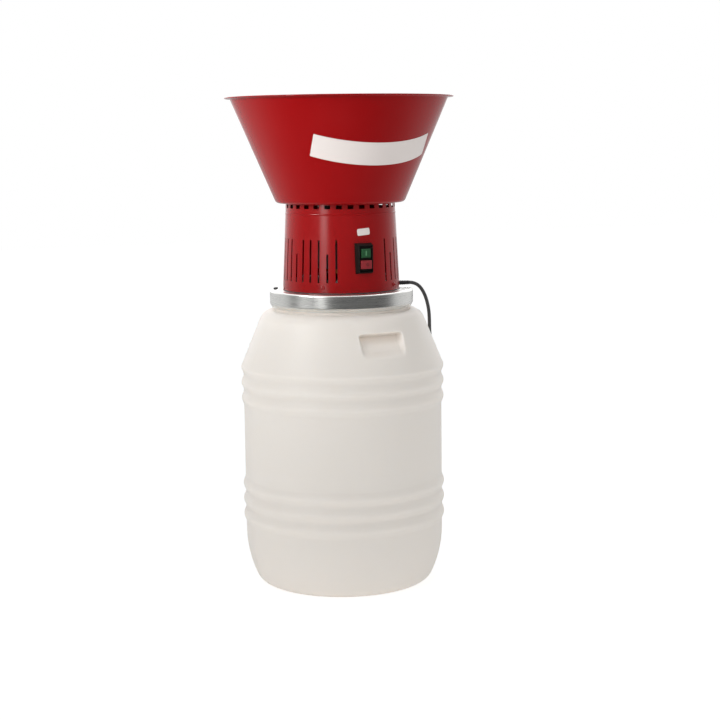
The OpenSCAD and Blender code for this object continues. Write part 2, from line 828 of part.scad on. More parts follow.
module motor_base() {
  hub_r = low_bearing_r + 4;
  hub_h = bearing_lift + low_bearing_h;
  leg_h = stack_z - lid_top_z;
  color(aluminium) difference() {
    union() {
      translate([0, 0, lid_top_z]) cylinder(r = motor_r, h = base_t);
      translate([0, 0, lid_top_z]) cylinder(r = hub_r, h = hub_h);
      at_long_bolts(lid_top_z) cylinder(r = leg_r, h = leg_h);
    }
    translate([0, 0, lid_top_z]) hole(shaft_r + 3, hub_h);
    translate([0, 0, lid_top_z + bearing_lift]) cylinder(r = low_bearing_r + snug, h = hub_h);
    motor_bolt_holes(lid_top_z, base_t);
    at_long_bolts(stack_z - 20) cylinder(r = bolt_r + snug, h = 20 + past);
  }
}

module upper_bracket() {
  arm_w = 24;
  color(aluminium) difference() {
    union() {
      translate([0, 0, bracket_z]) cylinder(r = top_bearing_r + 5, h = top_bearing_h);
      for (turn = concat(bolt_turns, brush_turns))
        toward(turn) translate([0, -arm_w / 2, bracket_z])
          cube([motor_r - 3, arm_w, top_bearing_h]);
      at_long_bolts(stack_top_z) cylinder(r = leg_r, h = bracket_z - stack_top_z + past);
    }
    translate([0, 0, bracket_z]) hole(top_bearing_r + snug, top_bearing_h);
    at_long_bolts(stack_top_z) hole(bolt_r + snug, bracket_z + top_bearing_h - stack_top_z);
  }
}

module stator_core() {
  play = 0.3;
  color(dark_steel) difference() {
    translate([0, 0, stack_z]) ring(armature_r + air_gap, motor_r, stack_h);
    at_long_bolts(stack_z) hole(bolt_r + snug, stack_h);
    for (pole = pole_turns) for (side = [-1, 1])
      toward(pole + side * coil_leg_turn) translate([0, 0, stack_z - past])
        sector(coil_in - play, coil_out + play, stack_h + 2 * past, coil_leg_w + 2);
  }
}

module field_coils() {
  lift = 0.5;
  inset = 0.5;
  span = 2 * coil_leg_turn + coil_leg_w;
  color(copper) for (pole = pole_turns) toward(pole) union() {
    for (side = [-1, 1])
      rotate([0, 0, side * coil_leg_turn]) translate([0, 0, stack_z - coil_over + past])
        sector(coil_in + inset, coil_out - inset, stack_h + 2 * (coil_over - past), coil_leg_w - 2 * inset);
    for (z = [stack_z - coil_over, stack_top_z + lift])
      translate([0, 0, z]) sector(coil_in, coil_out, coil_over - lift, span);
  }
}

module motor_long_bolts() {
  head_r = 4.2;
  head_t = 3;
  low = stack_z - 18;
  top = bracket_z + top_bearing_h;
  color(steel) at_long_bolts(0) {
    translate([0, 0, low]) cylinder(r = bolt_r, h = top - low);
    translate([0, 0, top]) cylinder(r = head_r, h = head_t, $fn = 6);
  }
}

slot_w = 4;
slot_in = shaft_r + 10;
winding_r = armature_r - 3;

module armature_core() {
  play = 0.1;
  color(dark_steel) difference() {
    translate([0, 0, stack_z]) ring(shaft_r + snug, armature_r, stack_h);
    for (i = [0 : armature_slots - 1])
      rotate([0, 0, 360 * i / armature_slots])
        translate([slot_in - play, -slot_w / 2 - play, stack_z - past])
          cube([armature_r, slot_w + 2 * play, stack_h + 2 * past]);
  }
}

module armature_windings() {
  end_h = coil_over - 1;
  color(copper) union() {
    for (z = [stack_z - end_h, stack_top_z])
      translate([0, 0, z]) ring(shaft_r + 3, winding_r, end_h);
    for (i = [0 : armature_slots - 1])
      rotate([0, 0, 360 * i / armature_slots])
        translate([slot_in, -slot_w / 2, stack_z - past])
          cube([winding_r - slot_in, slot_w, stack_h + 2 * past]);
  }
}

module commutator() {
  groove = 0.6;
  groove_d = 1.2;
  color(copper) difference() {
    translate([0, 0, comm_z]) ring(shaft_r + snug, comm_r, comm_h);
    for (i = [0 : comm_bars - 1])
      rotate([0, 0, 360 * i / comm_bars])
        translate([comm_r - groove_d, -groove / 2, comm_z - past]) cube([comm_r, groove, comm_h + 2 * past]);
  }
}

shaft_low_z = beater_z - 12;
thread_r = shaft_r - 1;

module motor_shaft() {
  step_z = bracket_z - past;
  top = bracket_z + top_bearing_h + past;
  outline = [
    [0, shaft_low_z], [thread_r, shaft_low_z], [thread_r, beater_z], [shaft_r, beater_z],
    [shaft_r, step_z], [journal_r, step_z], [journal_r, top], [0, top]
  ];
  color(steel) rotate_extrude() polygon(outline);
}

module cooling_fan() {
  hub_r = shaft_r + 4;
  disc_t = 1.6;
  vane_t = 1.5;
  color(black) translate([0, 0, fan_z]) difference() {
    union() {
      cylinder(r = hub_r, h = fan_h);
      cylinder(r = fan_r, h = disc_t);
      for (i = [0 : fan_vanes - 1])
        rotate([0, 0, 360 * i / fan_vanes]) translate([hub_r - past, -vane_t / 2, 0])
          cube([fan_r - hub_r - past, vane_t, fan_h]);
    }
    hole(shaft_r + snug, fan_h);
  }
}

// Bearings: an outer ring, an inner ring and balls between them

race_t = 2.8;
low_inner_r = shaft_r + 2.4;
top_race_t = 1.8;
top_inner_r = journal_r + 1.8;
low_bearing_z = lid_top_z + bearing_lift;

module lower_bearing_outer() {
  color(steel) translate([0, 0, low_bearing_z])
    ring(low_bearing_r - race_t, low_bearing_r, low_bearing_h);
}

module lower_bearing_inner() {
  color(steel) translate([0, 0, low_bearing_z]) ring(shaft_r + snug, low_inner_r, low_bearing_h);
}

module upper_bearing_outer() {
  color(steel) translate([0, 0, bracket_z]) ring(top_bearing_r - top_race_t, top_bearing_r, top_bearing_h);
}

module upper_bearing_inner() {
  color(steel) translate([0, 0, bracket_z]) ring(journal_r + snug, top_inner_r, top_bearing_h);
}

module balls(r_in, r_out, z, count) {
  for (i = [0 : count - 1])
    rotate([0, 0, 360 * i / count]) translate([(r_in + r_out) / 2, 0, z])
      sphere((r_out - r_in) / 2 - running_fit);
}

module bearing_balls() {
  color(steel) {
    balls(low_inner_r, low_bearing_r - race_t, low_bearing_z + low_bearing_h / 2, 8);
    balls(top_inner_r, top_bearing_r - top_race_t, bracket_z + top_bearing_h / 2, 8);
  }
}

// Brushes

brush_w = 6;
brush_h = 8;
brush_l = 16;
brush_in = comm_r + 0.1;
holder_wall = 1.6;
holder_in = comm_r + 1.5;
holder_out = motor_r - 6;

module brush_holders() {
  cavity_w = brush_w + 2 * snug;
  cavity_h = brush_h + 2 * snug;
  outer_h = cavity_h + 2 * holder_wall;
  color(brass) for (turn = brush_turns) toward(turn) translate([0, 0, brush_z]) difference() {
    union() {
      bar(holder_in, holder_out, cavity_w + 2 * holder_wall, outer_h);
      translate([holder_in + 2, -brush_w / 2, 0])
        cube([holder_out - holder_in - 4, brush_w, bracket_z - brush_z]);
    }
    bar(holder_in - past, holder_out - holder_wall, cavity_w, cavity_h);
  }
}

module carbon_brushes() {
  color(dark_steel) for (turn = brush_turns)
    toward(turn) translate([0, 0, brush_z]) bar(brush_in, brush_in + brush_l, brush_w, brush_h);
}

module brush_springs() {
  wire = 0.4;
  room = holder_out - holder_wall - brush_in - brush_l;
  color(steel) for (turn = brush_turns)
    toward(turn) translate([brush_in + brush_l + wire + snug, 0, brush_z])
      tube(helix(brush_w / 2 - wire - snug, room - 2 * (wire + snug), 5, 8), wire, 5);
}

// Grinding chamber

module chamber_plate() {
  color(steel) translate([0, 0, plate_z]) difference() {
    cylinder(r = plate_r, h = plate_t);
    hole(seal_r + snug, plate_t);
    feed_hole(0, plate_t);
    motor_bolt_holes(0, plate_t);
    for (turn = stud_turns) toward(turn) translate([stud_reach, 0, 0]) hole(stud_r + snug, plate_t);
  }
}

motor_nut_h = 4;

module motor_bolts() {
  head_r = 4.2;
  head_t = 3;
  low = plate_z - motor_nut_h;
  top = lid_top_z + base_t;
  color(steel) for (turn = motor_bolt_turns) toward(turn) translate([motor_bolt_reach, 0, 0]) {
    translate([0, 0, low]) cylinder(r = bolt_r, h = top - low);
    translate([0, 0, top]) cylinder(r = head_r, h = head_t, $fn = 6);
  }
}

module motor_nuts() {
  color(steel) for (turn = motor_bolt_turns)
    toward(turn) translate([motor_bolt_reach, 0, plate_z - motor_nut_h]) difference() {
      cylinder(r = bolt_r + 2, h = motor_nut_h, $fn = 6);
      hole(bolt_r + snug, motor_nut_h);
    }
}

module shaft_seal() {
  color(black) translate([0, 0, lid_top_z - seal_h]) ring(shaft_r + running_fit, seal_r, seal_h);
}

module beater_arm() {
  tip = beater_w * 0.3;
  polygon([
    [-beater_r, -beater_w / 2 + tip], [-beater_r + tip, -beater_w / 2], [beater_r, -beater_w / 2],
    [beater_r, beater_w / 2 - tip], [beater_r - tip, beater_w / 2], [-beater_r, beater_w / 2]
  ]);
}

module beater() {
  color(steel) translate([0, 0, beater_z]) difference() {
    linear_extrude(beater_t) {
      beater_arm();
      rotate([0, 0, 90]) beater_arm();
    }
    hole(shaft_r + snug, beater_t);
  }
}

module beater_spacer() {
  foot = beater_z + beater_t;
  color(steel) translate([0, 0, foot])
    ring(shaft_r + snug, shaft_r + 5, lid_top_z - seal_h - slip - foot);
}

washer_t = 2;

module beater_washer() {
  color(steel) translate([0, 0, beater_z - washer_t]) ring(thread_r + snug, shaft_r + 6, washer_t);
}

module beater_nut() {
  nut_h = 8;
  color(steel) translate([0, 0, beater_z - washer_t - nut_h]) difference() {
    cylinder(r = shaft_r + 3.5, h = nut_h, $fn = 6);
    hole(thread_r + snug, nut_h);
  }
}

module sieve() {
  step = sieve_h / sieve_rows;
  color(steel) difference() {
    translate([0, 0, chamber_z]) ring(sieve_r - sieve_t, sieve_r, sieve_h);
    for (row = [0 : sieve_rows - 1]) for (i = [0 : sieve_holes - 1])
      toward(360 * (i + row % 2 / 2) / sieve_holes) translate([0, 0, chamber_z + (row + 0.5) * step])
        rod(sieve_hole_r, sieve_r - sieve_t - past, sieve_r + past);
  }
}

module chamber_floor() {
  color(steel) translate([0, 0, chamber_z - plate_t]) difference() {
    cylinder(r = plate_r, h = plate_t);
    for (turn = stud_turns) toward(turn) translate([stud_reach, 0, 0]) hole(stud_r + snug, plate_t);
  }
}

stud_end_z = chamber_z - plate_t - 12;

module sieve_studs() {
  color(steel) for (turn = stud_turns)
    toward(turn) translate([stud_reach, 0, stud_end_z])
      cylinder(r = stud_r, h = plate_z + plate_t - stud_end_z);
}

module wing_nuts() {
  hub_r = stud_r + 2.5;
  hub_h = 8;
  wing_l = 12;
  color(steel) for (turn = stud_turns)
    toward(turn) translate([stud_reach, 0, chamber_z - plate_t - hub_h]) difference() {
      union() {
        cylinder(r = hub_r, h = hub_h);
        translate([-1.25, -wing_l, 0]) cube([2.5, 2 * wing_l, hub_h - 1]);
      }
      hole(stud_r + snug, hub_h);
    }
}

// Switch: the frame and works on the housing, and two sprung buttons that go in along +Y

module outward(w, h, from, to, z) {
  translate([-w / 2, -to, z - h / 2]) cube([w, to - from, h]);
}

module switch_frame() {
  back = switch_r - 3;
  face_h = switch_h - (switch_w - switch_face_w);
  color(black) difference() {
    intersection() {
      translate([0, 0, switch_z - switch_h / 2]) linear_extrude(switch_h) polygon([
        [-switch_w / 2, -back], [-switch_face_w / 2, -switch_face],
        [switch_face_w / 2, -switch_face], [switch_w / 2, -back]
      ]);
      translate([-switch_w / 2, 0, switch_z]) rotate([90, 0, 90]) linear_extrude(switch_w) polygon([
        [-back, -switch_h / 2], [-switch_face, -face_h / 2],
        [-switch_face, face_h / 2], [-back, switch_h / 2]
      ]);
    }
    translate([0, 0, lid_top_z])
      cylinder(r1 = housing_foot_r + snug, r2 = housing_top_r + snug, h = housing_h);
    outward(works_w + 2 * snug, works_h + 2 * snug, works_back, switch_face + past, switch_z);
  }
}

module switch_body() {
  color(black) difference() {
    outward(works_w, works_h, works_back, works_front, switch_z);
    outward(start_w + 2 * slip, start_h + 2 * slip, well_back, switch_face, start_z);
    outward(stop_w + 2 * slip, stop_h + 2 * slip, well_back, switch_face, stop_z);
  }
}

module button(w, h, front, z) {
  bevel = 1;
  difference() {
    outward(w, h, front - button_l, front, z);
    for (side = [-1, 1])
      translate([0, -front, z + side * h / 2]) rotate([45, 0, 0])
        cube([w + past, bevel, bevel], center = true);
  }
}

module start_button() {
  color([0.13, 0.34, 0.20]) button(start_w, start_h, start_front, start_z);
}

module stop_button() {
  color([0.62, 0.12, 0.15]) button(stop_w, stop_h, stop_front, stop_z);
}

module button_spring(front, z) {
  low = well_back + button_spring_wire + slip;
  high = front - button_l - button_spring_wire - slip;
  toward(0) translate([low, 0, z])
    tube(helix(button_spring_r, high - low, button_spring_curls, 8), button_spring_wire / 2, 6);
}

module start_spring() {
  color(steel) button_spring(start_front, start_z);
}

module stop_spring() {
  color(steel) button_spring(stop_front, stop_z);
}

// Electrical parts

module suppression_capacitor() {
  depth = 18;
  width = 32;
  height = 26;
  near = motor_r + 10;
  color([0.75, 0.62, 0.20]) toward(270) translate([near, -width / 2, lid_top_z]) cube([depth, width, height]);
}

module inner_lead() {
  start = polar([cord_turn, gland_r - gland_inner - gland_nut_t - snug, gland_z]);
  depth = 12;
  drop = 10;
  straight = 6;
  finish = [works_w / 2 + snug, -works_back - depth, switch_z - drop];
  route = concat([start], [for (p = lead_route) polar(p)], [finish + [straight, 0, 0], finish]);
  color(black) tube(smooth(route, cord_steps), lead_r, 8);
}

module strain_relief() {
  flange_gap = 0.6;
  color(black) toward(cord_turn) translate([gland_r, 0, gland_z]) {
    rod(boot_r, -gland_inner - gland_nut_t, gland_flange_t);
    rod(gland_nut_r, flange_gap, gland_flange_t);
    rod(gland_nut_r, -gland_inner - gland_nut_t, -gland_inner);
    translate([gland_flange_t, 0, 0]) rotate([0, 90, 0])
      cylinder(r1 = boot_r, r2 = cord_r + boot_lip, h = boot_l);
  }
}

module power_cord() {
  start = polar([cord_turn, boot_end, gland_z]);
  finish = coil_path[0] - slip * coil_in_way;
  route = concat([start], [for (p = cord_route) polar(p)], [finish]);
  color(black) tube(smooth(route, cord_steps), cord_r, cord_sides);
}

module cord_coil() {
  color(black) tube(coil_path, cord_r, coil_sides);
}

module cord_tie() {
  room = cord_r + slip;
  low_r = coil_in_r - coil_pitch / 8 - room;
  high_r = max(coil_r, coil_out_r) + room;
  low_z = coil_z - room;
  high_z = coil_layer_z + room;
  color(dark_steel) translate(coil_c) rotate([0, 0, coil_exit + 180]) rotate([90, 0, 0])
    linear_extrude(tie_w, center = true) difference() {
      translate([low_r - tie_t, low_z - tie_t]) square([high_r - low_r + 2 * tie_t, high_z - low_z + 2 * tie_t]);
      translate([low_r, low_z]) square([high_r - low_r, high_z - low_z]);
    }
}

module at_plug() {
  translate(plug_start) rotate([0, 0, coil_exit + 90]) children();
}

module plug_body() {
  nose = plug_boot_l + plug_l;
  color(black) at_plug() union() {
    rotate([0, 90, 0]) cylinder(r1 = cord_r + 0.8, r2 = plug_half * 0.7, h = plug_boot_l + past);
    translate([0, 0, -plug_half]) linear_extrude(2 * plug_half) polygon([
      [plug_boot_l, -plug_w * 0.28], [plug_boot_l + plug_l * 0.4, -plug_w / 2], [nose, -plug_w / 2],
      [nose, plug_w / 2], [plug_boot_l + plug_l * 0.4, plug_w / 2], [plug_boot_l, plug_w * 0.28]
    ]);
  }
}

module plug_pins() {
  nose = plug_boot_l + plug_l;
  color(brass) at_plug() for (side = [-1, 1])
    translate([0, side * pin_step / 2, 0]) rod(pin_r, nose, nose + pin_l);
}

barrel();
lid();
lid_gasket();
mounting_ring();
motor_housing();
housing_screws();
hopper();
hopper_screws();
hopper_nuts();
feed_gate();
gate_knob();
gate_pivot();
gate_nut();
feed_chute();
motor_base();
upper_bracket();
stator_core();
field_coils();
motor_long_bolts();
armature_core();
armature_windings();
commutator();
motor_shaft();
cooling_fan();
lower_bearing_outer();
lower_bearing_inner();
upper_bearing_outer();
upper_bearing_inner();
bearing_balls();
brush_holders();
carbon_brushes();
brush_springs();
chamber_plate();
motor_bolts();
motor_nuts();
shaft_seal();
beater();
beater_spacer();
beater_washer();
beater_nut();
sieve();
chamber_floor();
sieve_studs();
wing_nuts();
switch_body();
switch_frame();
start_button();
stop_button();
start_spring();
stop_spring();
suppression_capacitor();
inner_lead();
strain_relief();
power_cord();
cord_coil();
cord_tie();
plug_body();
plug_pins();
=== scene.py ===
"""Looks of an electric grain mill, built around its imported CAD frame.

The frame is in metres with +Z up, and the switch faces -Y. Sizes in this file are millimetres, as in the
part's source, and become metres where a mesh is made. Angles are degrees from the front, turning towards +X.
"""
import logging
import math
from dataclasses import dataclass, field
from enum import Enum
from functools import lru_cache
from typing import Any, Callable, Iterable, Sequence

import bmesh
import bpy
import numpy as np
from mathutils import Matrix, Vector


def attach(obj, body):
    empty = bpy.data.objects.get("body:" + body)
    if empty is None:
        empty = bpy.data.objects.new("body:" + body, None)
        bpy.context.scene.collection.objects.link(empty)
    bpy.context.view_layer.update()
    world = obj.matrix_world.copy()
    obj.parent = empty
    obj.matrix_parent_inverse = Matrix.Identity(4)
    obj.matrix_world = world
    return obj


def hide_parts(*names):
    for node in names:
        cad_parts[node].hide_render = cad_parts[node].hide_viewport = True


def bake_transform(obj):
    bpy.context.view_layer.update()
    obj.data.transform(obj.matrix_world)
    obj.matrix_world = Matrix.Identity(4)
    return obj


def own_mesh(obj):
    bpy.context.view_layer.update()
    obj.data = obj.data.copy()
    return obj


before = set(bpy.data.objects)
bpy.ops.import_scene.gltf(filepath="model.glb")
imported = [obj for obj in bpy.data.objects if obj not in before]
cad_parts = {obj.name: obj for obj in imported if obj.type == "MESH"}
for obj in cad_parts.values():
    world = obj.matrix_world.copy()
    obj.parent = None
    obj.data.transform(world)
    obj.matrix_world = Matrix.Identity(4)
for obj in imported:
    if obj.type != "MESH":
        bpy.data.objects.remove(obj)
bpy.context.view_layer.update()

MM = 0.001
MERGE = 1e-6  # metres between points that become one
FLAT = 0.4  # degrees between faces that become one
log = logging.getLogger("grain_mill")

Object = bpy.types.Object
Point = Sequence[float]
Outline = list[tuple[float, float]]
Faces = list[tuple[int, ...]]


# Node trees


def joined(operation: str, swapped: bool = False) -> Callable[["Wire", Any], "Wire"]:
    """An operator of Wire that adds a Math node.

    Args:
        operation: The node's operation.
        swapped: Whether the wire stands behind the operator.
    Returns:
        The operator's method.
    """
    def method(wire: "Wire", other: Any) -> "Wire":
        """Adds the node."""
        return wire.maths(operation, *((other, wire) if swapped else (wire, other)))
    return method


class Wire:
    """An output socket of a shader tree that adds Math nodes when it is used in an expression."""

    def __init__(self, graph: "Graph", socket: bpy.types.NodeSocket) -> None:
        """Keeps the tree and the socket."""
        self.graph = graph
        self.socket = socket

    def maths(self, operation: str, *values: Any) -> "Wire":
        """Adds one Math node.

        Args:
            operation: The node's operation.
            values: Wires or numbers for its sockets, in order.
        Returns:
            The node's output.
        """
        return self.graph.node("ShaderNodeMath", {"operation": operation}, dict(enumerate(values)))

    __add__, __radd__ = joined("ADD"), joined("ADD", swapped=True)
    __sub__, __rsub__ = joined("SUBTRACT"), joined("SUBTRACT", swapped=True)
    __mul__, __rmul__ = joined("MULTIPLY"), joined("MULTIPLY", swapped=True)
    __pow__ = joined("POWER")

    def step(self, low: float, high: float) -> "Wire":
        """A smooth step from 0 at low to 1 at high."""
        return self.graph.node(
            "ShaderNodeMapRange", {"interpolation_type": "SMOOTHSTEP"},
            {"Value": self, "From Min": low, "From Max": high, "To Min": 0.0, "To Max": 1.0},
        )


@dataclass
class Graph:
    """A node tree and one way of adding nodes to it."""

    tree: bpy.types.NodeTree

    @classmethod
    def fresh(cls, owner: bpy.types.Material | bpy.types.World) -> "Graph":
        """The emptied tree of a material or of the world."""
        owner.use_nodes = True
        owner.node_tree.nodes.clear()
        return cls(owner.node_tree)

    def raw(self, kind: str, settings: dict[str, Any] | None = None,
            inputs: dict[Any, Any] | None = None) -> bpy.types.Node:
        """Adds a node, sets its settings first, and then fills its sockets.

        Args:
            kind: The node's type name.
            settings: Its properties.
            inputs: Values, wires or sockets by socket name or number.
        Returns:
            The node.
        """
        made = self.tree.nodes.new(kind)
        for key, value in (settings or {}).items():
            setattr(made, key, value)
        for key, value in (inputs or {}).items():
            socket = made.inputs[key]
            source = value.socket if isinstance(value, Wire) else value
            if isinstance(source, bpy.types.NodeSocket):
                self.tree.links.new(source, socket)
            else:
                socket.default_value = source
        return made

    def node(self, kind: str, settings: dict[str, Any] | None = None,
             inputs: dict[Any, Any] | None = None, out: Any = 0) -> Wire:
        """Adds a node as raw() does, and returns the output that out names."""
        return Wire(self, self.raw(kind, settings, inputs).outputs[out])

    def mix(self, factor: Any, first: Any, second: Any) -> Wire:
        """Mixes two colours."""
        return self.node(
            "ShaderNodeMix", {"data_type": "RGBA"}, {0: factor, 6: first, 7: second}, out=2)

    def noise(self, where: Wire, scale: float, detail: float = 2.0, rough: float = 0.5) -> Wire:
        """Noise from 0 to 1 over a vector."""
        return self.node("ShaderNodeTexNoise", {"noise_dimensions": "3D"}, {
            "Vector": where, "Scale": scale, "Detail": detail, "Roughness": rough})

    def stretched(self, where: Wire, scale: Point) -> Wire:
        """A vector with its parts multiplied."""
        return self.node("ShaderNodeVectorMath", {"operation": "MULTIPLY"}, {0: where, 1: tuple(scale)})

    def along(self, where: Wire, way: Point) -> Wire:
        """How far a vector goes in a direction."""
        return self.node(
            "ShaderNodeVectorMath", {"operation": "DOT_PRODUCT"}, {0: where, 1: tuple(way)}, out="Value")


# Finishes

BROAD_ROUGH = 0.14
FINE_ROUGH = 0.10
BUMP_STRENGTH = 0.6
COAT_ROUGH = 0.18
INNER_DEPTH = 0.015
INNER_TINT = (1.0, 0.9, 0.8)
METAL_SPECKS = 0.35
METAL_SPECK_SHADE = 0.55
DUST_SPECKS = 0.02
DUST_COLOR = (0.6, 0.55, 0.5, 1.0)
WHITE = (1.0, 1.0, 1.0, 1.0)


def srgb(red: float, green: float, blue: float) -> tuple[float, float, float, float]:
    """A colour given by its 0 to 255 screen values, as the linear numbers that shaders use."""
    def linear(value: float) -> float:
        """One screen value as a linear one."""
        share = value / 255
        return share / 12.92 if share <= 0.04045 else ((share + 0.055) / 1.055) ** 2.4
    return linear(red), linear(green), linear(blue), 1.0


def shade(color: Sequence[float], factor: float) -> tuple[float, float, float, float]:
    """A colour made darker or paler by a factor."""
    return tuple(min(1.0, part * factor) for part in color[:3]) + (1.0,)


class Grain(Enum):
    """The way that a surface's fine pattern lies."""

    PEBBLED = "pebbled"
    SPRAYED = "sprayed"
    MOULDED = "moulded"
    TURNED = "turned"
    ROLLED = "rolled"
    WOUND = "wound"
    STACKED = "stacked"
    CAST = "cast"


@dataclass(frozen=True)
class Finish:
    """What a surface is made of: its colour, gloss and fine pattern.

    Args:
        name: The material's name.
        slot: The record's material slot.
        color: The linear base colour.
        grain: The kind of fine pattern.
        size: The pattern's size in millimetres.
        relief: The pattern's depth in millimetres.
        rough: The middle roughness.
        metal: 1 for bare metal.
        vary: How much the colour varies.
        gloss: The weight of a clear coat.
        through: The share of light that goes into the surface.
        shine: The strength of the mirror-like part, 0.5 for most plastics.
    """

    name: str
    slot: str
    color: tuple[float, float, float, float]
    grain: Grain
    size: float
    relief: float
    rough: float
    metal: float = 0.0
    vary: float = 0.08
    gloss: float = 0.0
    through: float = 0.0
    shine: float = 0.5

    @lru_cache(maxsize=None)
    def material(self) -> bpy.types.Material:
        """Returns the material, and makes it at the first call."""
        made = bpy.data.materials.new(self.name)
        graph = Graph.fresh(made)
        place = graph.node("ShaderNodeTexCoord", out="Object")
        fine, broad = self.pattern(graph, place)
        color = graph.mix(broad, shade(self.color, 1 - self.vary), shade(self.color, 1 + self.vary))
        color = self.weathered(graph, place, color)
        rough = self.rough + (broad - 0.5) * BROAD_ROUGH + (fine - 0.5) * FINE_ROUGH
        bump = graph.node("ShaderNodeBump", None, {
            "Strength": BUMP_STRENGTH, "Distance": self.relief * MM, "Height": fine}, out="Normal")
        surface = graph.node("ShaderNodeBsdfPrincipled", None, {
            "Base Color": color, "Roughness": rough, "Metallic": self.metal, "Normal": bump,
            "Coat Weight": self.gloss, "Coat Roughness": COAT_ROUGH, "Specular IOR Level": self.shine,
            "Subsurface Weight": self.through, "Subsurface Scale": INNER_DEPTH,
            "Subsurface Radius": INNER_TINT})
        graph.raw("ShaderNodeOutputMaterial", None, {"Surface": surface})
        return made

    def pattern(self, graph: Graph, place: Wire) -> tuple[Wire, Wire]:
        """The fine pattern for relief and the broad one for colour.

        Args:
            graph: The material's tree.
            place: Object coordinates.
        Returns:
            Both patterns, from 0 to 1.
        """
        each = 1 / (self.size * MM)
        broad = graph.noise(place, scale=16.0, detail=4.0, rough=0.55)
        if self.grain is Grain.TURNED:
            broad_share = 0.17
            return self.lined(graph, place, each), self.lined(graph, place, each * broad_share)
        if self.grain in (Grain.ROLLED, Grain.WOUND, Grain.STACKED):
            return self.lined(graph, place, each), broad
        if self.grain is Grain.PEBBLED:
            cells = graph.node("ShaderNodeTexVoronoi", {"feature": "SMOOTH_F1"}, {
                "Vector": place, "Scale": each, "Smoothness": 0.6})
            return cells, broad
        if self.grain is Grain.CAST:
            return graph.noise(place, scale=each, detail=6.0, rough=0.7), broad
        if self.grain is Grain.MOULDED:
            flow = graph.noise(graph.stretched(place, (1.0, 1.0, 0.16)), scale=24.0, detail=5.0, rough=0.6)
            peel = graph.noise(place, scale=each, detail=3.0)
            return 0.55 * peel + 0.45 * flow, graph.noise(place, scale=5.0, detail=3.0)
        return graph.noise(place, scale=each, rough=0.45), broad

    def lined(self, graph: Graph, place: Wire, each: float) -> Wire:
        """Fine lines that a tool, a roll or a wire leaves.

        Args:
            graph: The material's tree.
            place: Object coordinates.
            each: Lines per metre.
        Returns:
            The lines, from 0 to 1.
        """
        parts = graph.raw("ShaderNodeSeparateXYZ", None, {0: place})
        across, along, height = (Wire(graph, socket) for socket in parts.outputs)
        if self.grain is Grain.WOUND:
            waves_per_unit = 6.3
            return graph.node("ShaderNodeTexWave", {"bands_direction": "Z"}, {
                "Vector": place, "Scale": each / waves_per_unit, "Distortion": 1.5, "Detail": 1.0})
        if self.grain is Grain.STACKED:
            phase = height * (each * 2 * math.pi)
            return phase.maths("SINE", phase) * 0.5 + 0.5
        if self.grain is Grain.ROLLED:
            long_share = 0.02
            vector = graph.stretched(place, (each, each * long_share, each * long_share))
        else:
            lines_per_turn = 1.6
            reach = (across * across + along * along) ** 0.5
            turn = across.maths("ARCTAN2", along, across)
            vector = graph.node("ShaderNodeCombineXYZ", None, {
                0: reach * each, 1: height * each, 2: turn * lines_per_turn})
        return graph.noise(vector, scale=1.0, detail=4.0, rough=0.65)

    def weathered(self, graph: Graph, place: Wire, color: Wire) -> Wire:
        """The colour with the light marks of use.

        Args:
            graph: The material's tree.
            place: Object coordinates.
            color: The clean colour.
        Returns:
            The worn colour.
        """
        specks = graph.noise(place, scale=130.0, detail=6.0, rough=0.7).step(0.64, 0.78)
        if self.metal > 0.5:
            return graph.mix(specks * METAL_SPECKS, color, shade(self.color, METAL_SPECK_SHADE))
        return graph.mix(specks * DUST_SPECKS, color, DUST_COLOR)


RED_PAINT = Finish("sprayed_red", "red_paint", srgb(138, 5, 8), Grain.SPRAYED, 1.1, 0.015, 0.2,
                   vary=0.05, shine=0.3)
HDPE = Finish("moulded_barrel", "barrel_plastic", srgb(247, 234, 221), Grain.MOULDED, 0.9, 0.12, 0.38,
              vary=0.02, through=0.6)
LID_STEEL = Finish("brushed_lid", "lid_steel", (0.86, 0.86, 0.835, 1.0), Grain.TURNED, 0.35, 0.013, 0.28,
                   metal=1.0, vary=0.10)
BLACK_PLASTIC = Finish("moulded_black", "black_plastic", srgb(22, 19, 16), Grain.PEBBLED, 0.7, 0.06, 0.5,
                       shine=0.15)
GREEN_PLASTIC = Finish("start_green", "green_plastic", srgb(27, 76, 42), Grain.PEBBLED, 0.6, 0.03, 0.36)
RED_PLASTIC = Finish("stop_red", "red_plastic", srgb(133, 29, 36), Grain.PEBBLED, 0.6, 0.03, 0.36)
RUBBER = Finish("soft_rubber", "rubber", srgb(44, 44, 45), Grain.CAST, 0.6, 0.05, 0.55)
CORD_RUBBER = Finish("cord_rubber", "rubber", srgb(70, 70, 71), Grain.CAST, 0.5, 0.04, 0.45)
ZINC = Finish("fastener_zinc", "fastener_steel", (0.60, 0.60, 0.60, 1.0), Grain.CAST, 0.8, 0.02, 0.30, metal=1.0)
RED_HEAD = Finish("painted_head", "fastener_steel", srgb(150, 12, 15), Grain.SPRAYED, 0.9, 0.02, 0.26, shine=0.5)
SHEET_STEEL = Finish("rolled_sheet", "sheet_steel", (0.52, 0.53, 0.54, 1.0), Grain.ROLLED, 0.5, 0.02, 0.32,
                     metal=1.0)
# Sheet steel darkened to stand for the shade inside the casing behind its windows: painted shade.
SHADE_DARK_SHEET = Finish("dull_sheet", "sheet_steel", (0.14, 0.14, 0.145, 1.0), Grain.ROLLED, 0.5, 0.02, 0.6,
                    metal=0.8, shine=0.2)
TURNED_STEEL = Finish("turned_steel", "machined_steel", (0.55, 0.56, 0.57, 1.0), Grain.TURNED, 0.3, 0.02, 0.24,
                      metal=1.0)
CORE_STEEL = Finish("core_sheets", "core_steel", (0.07, 0.07, 0.075, 1.0), Grain.STACKED, 0.5, 0.08, 0.5, metal=0.8)
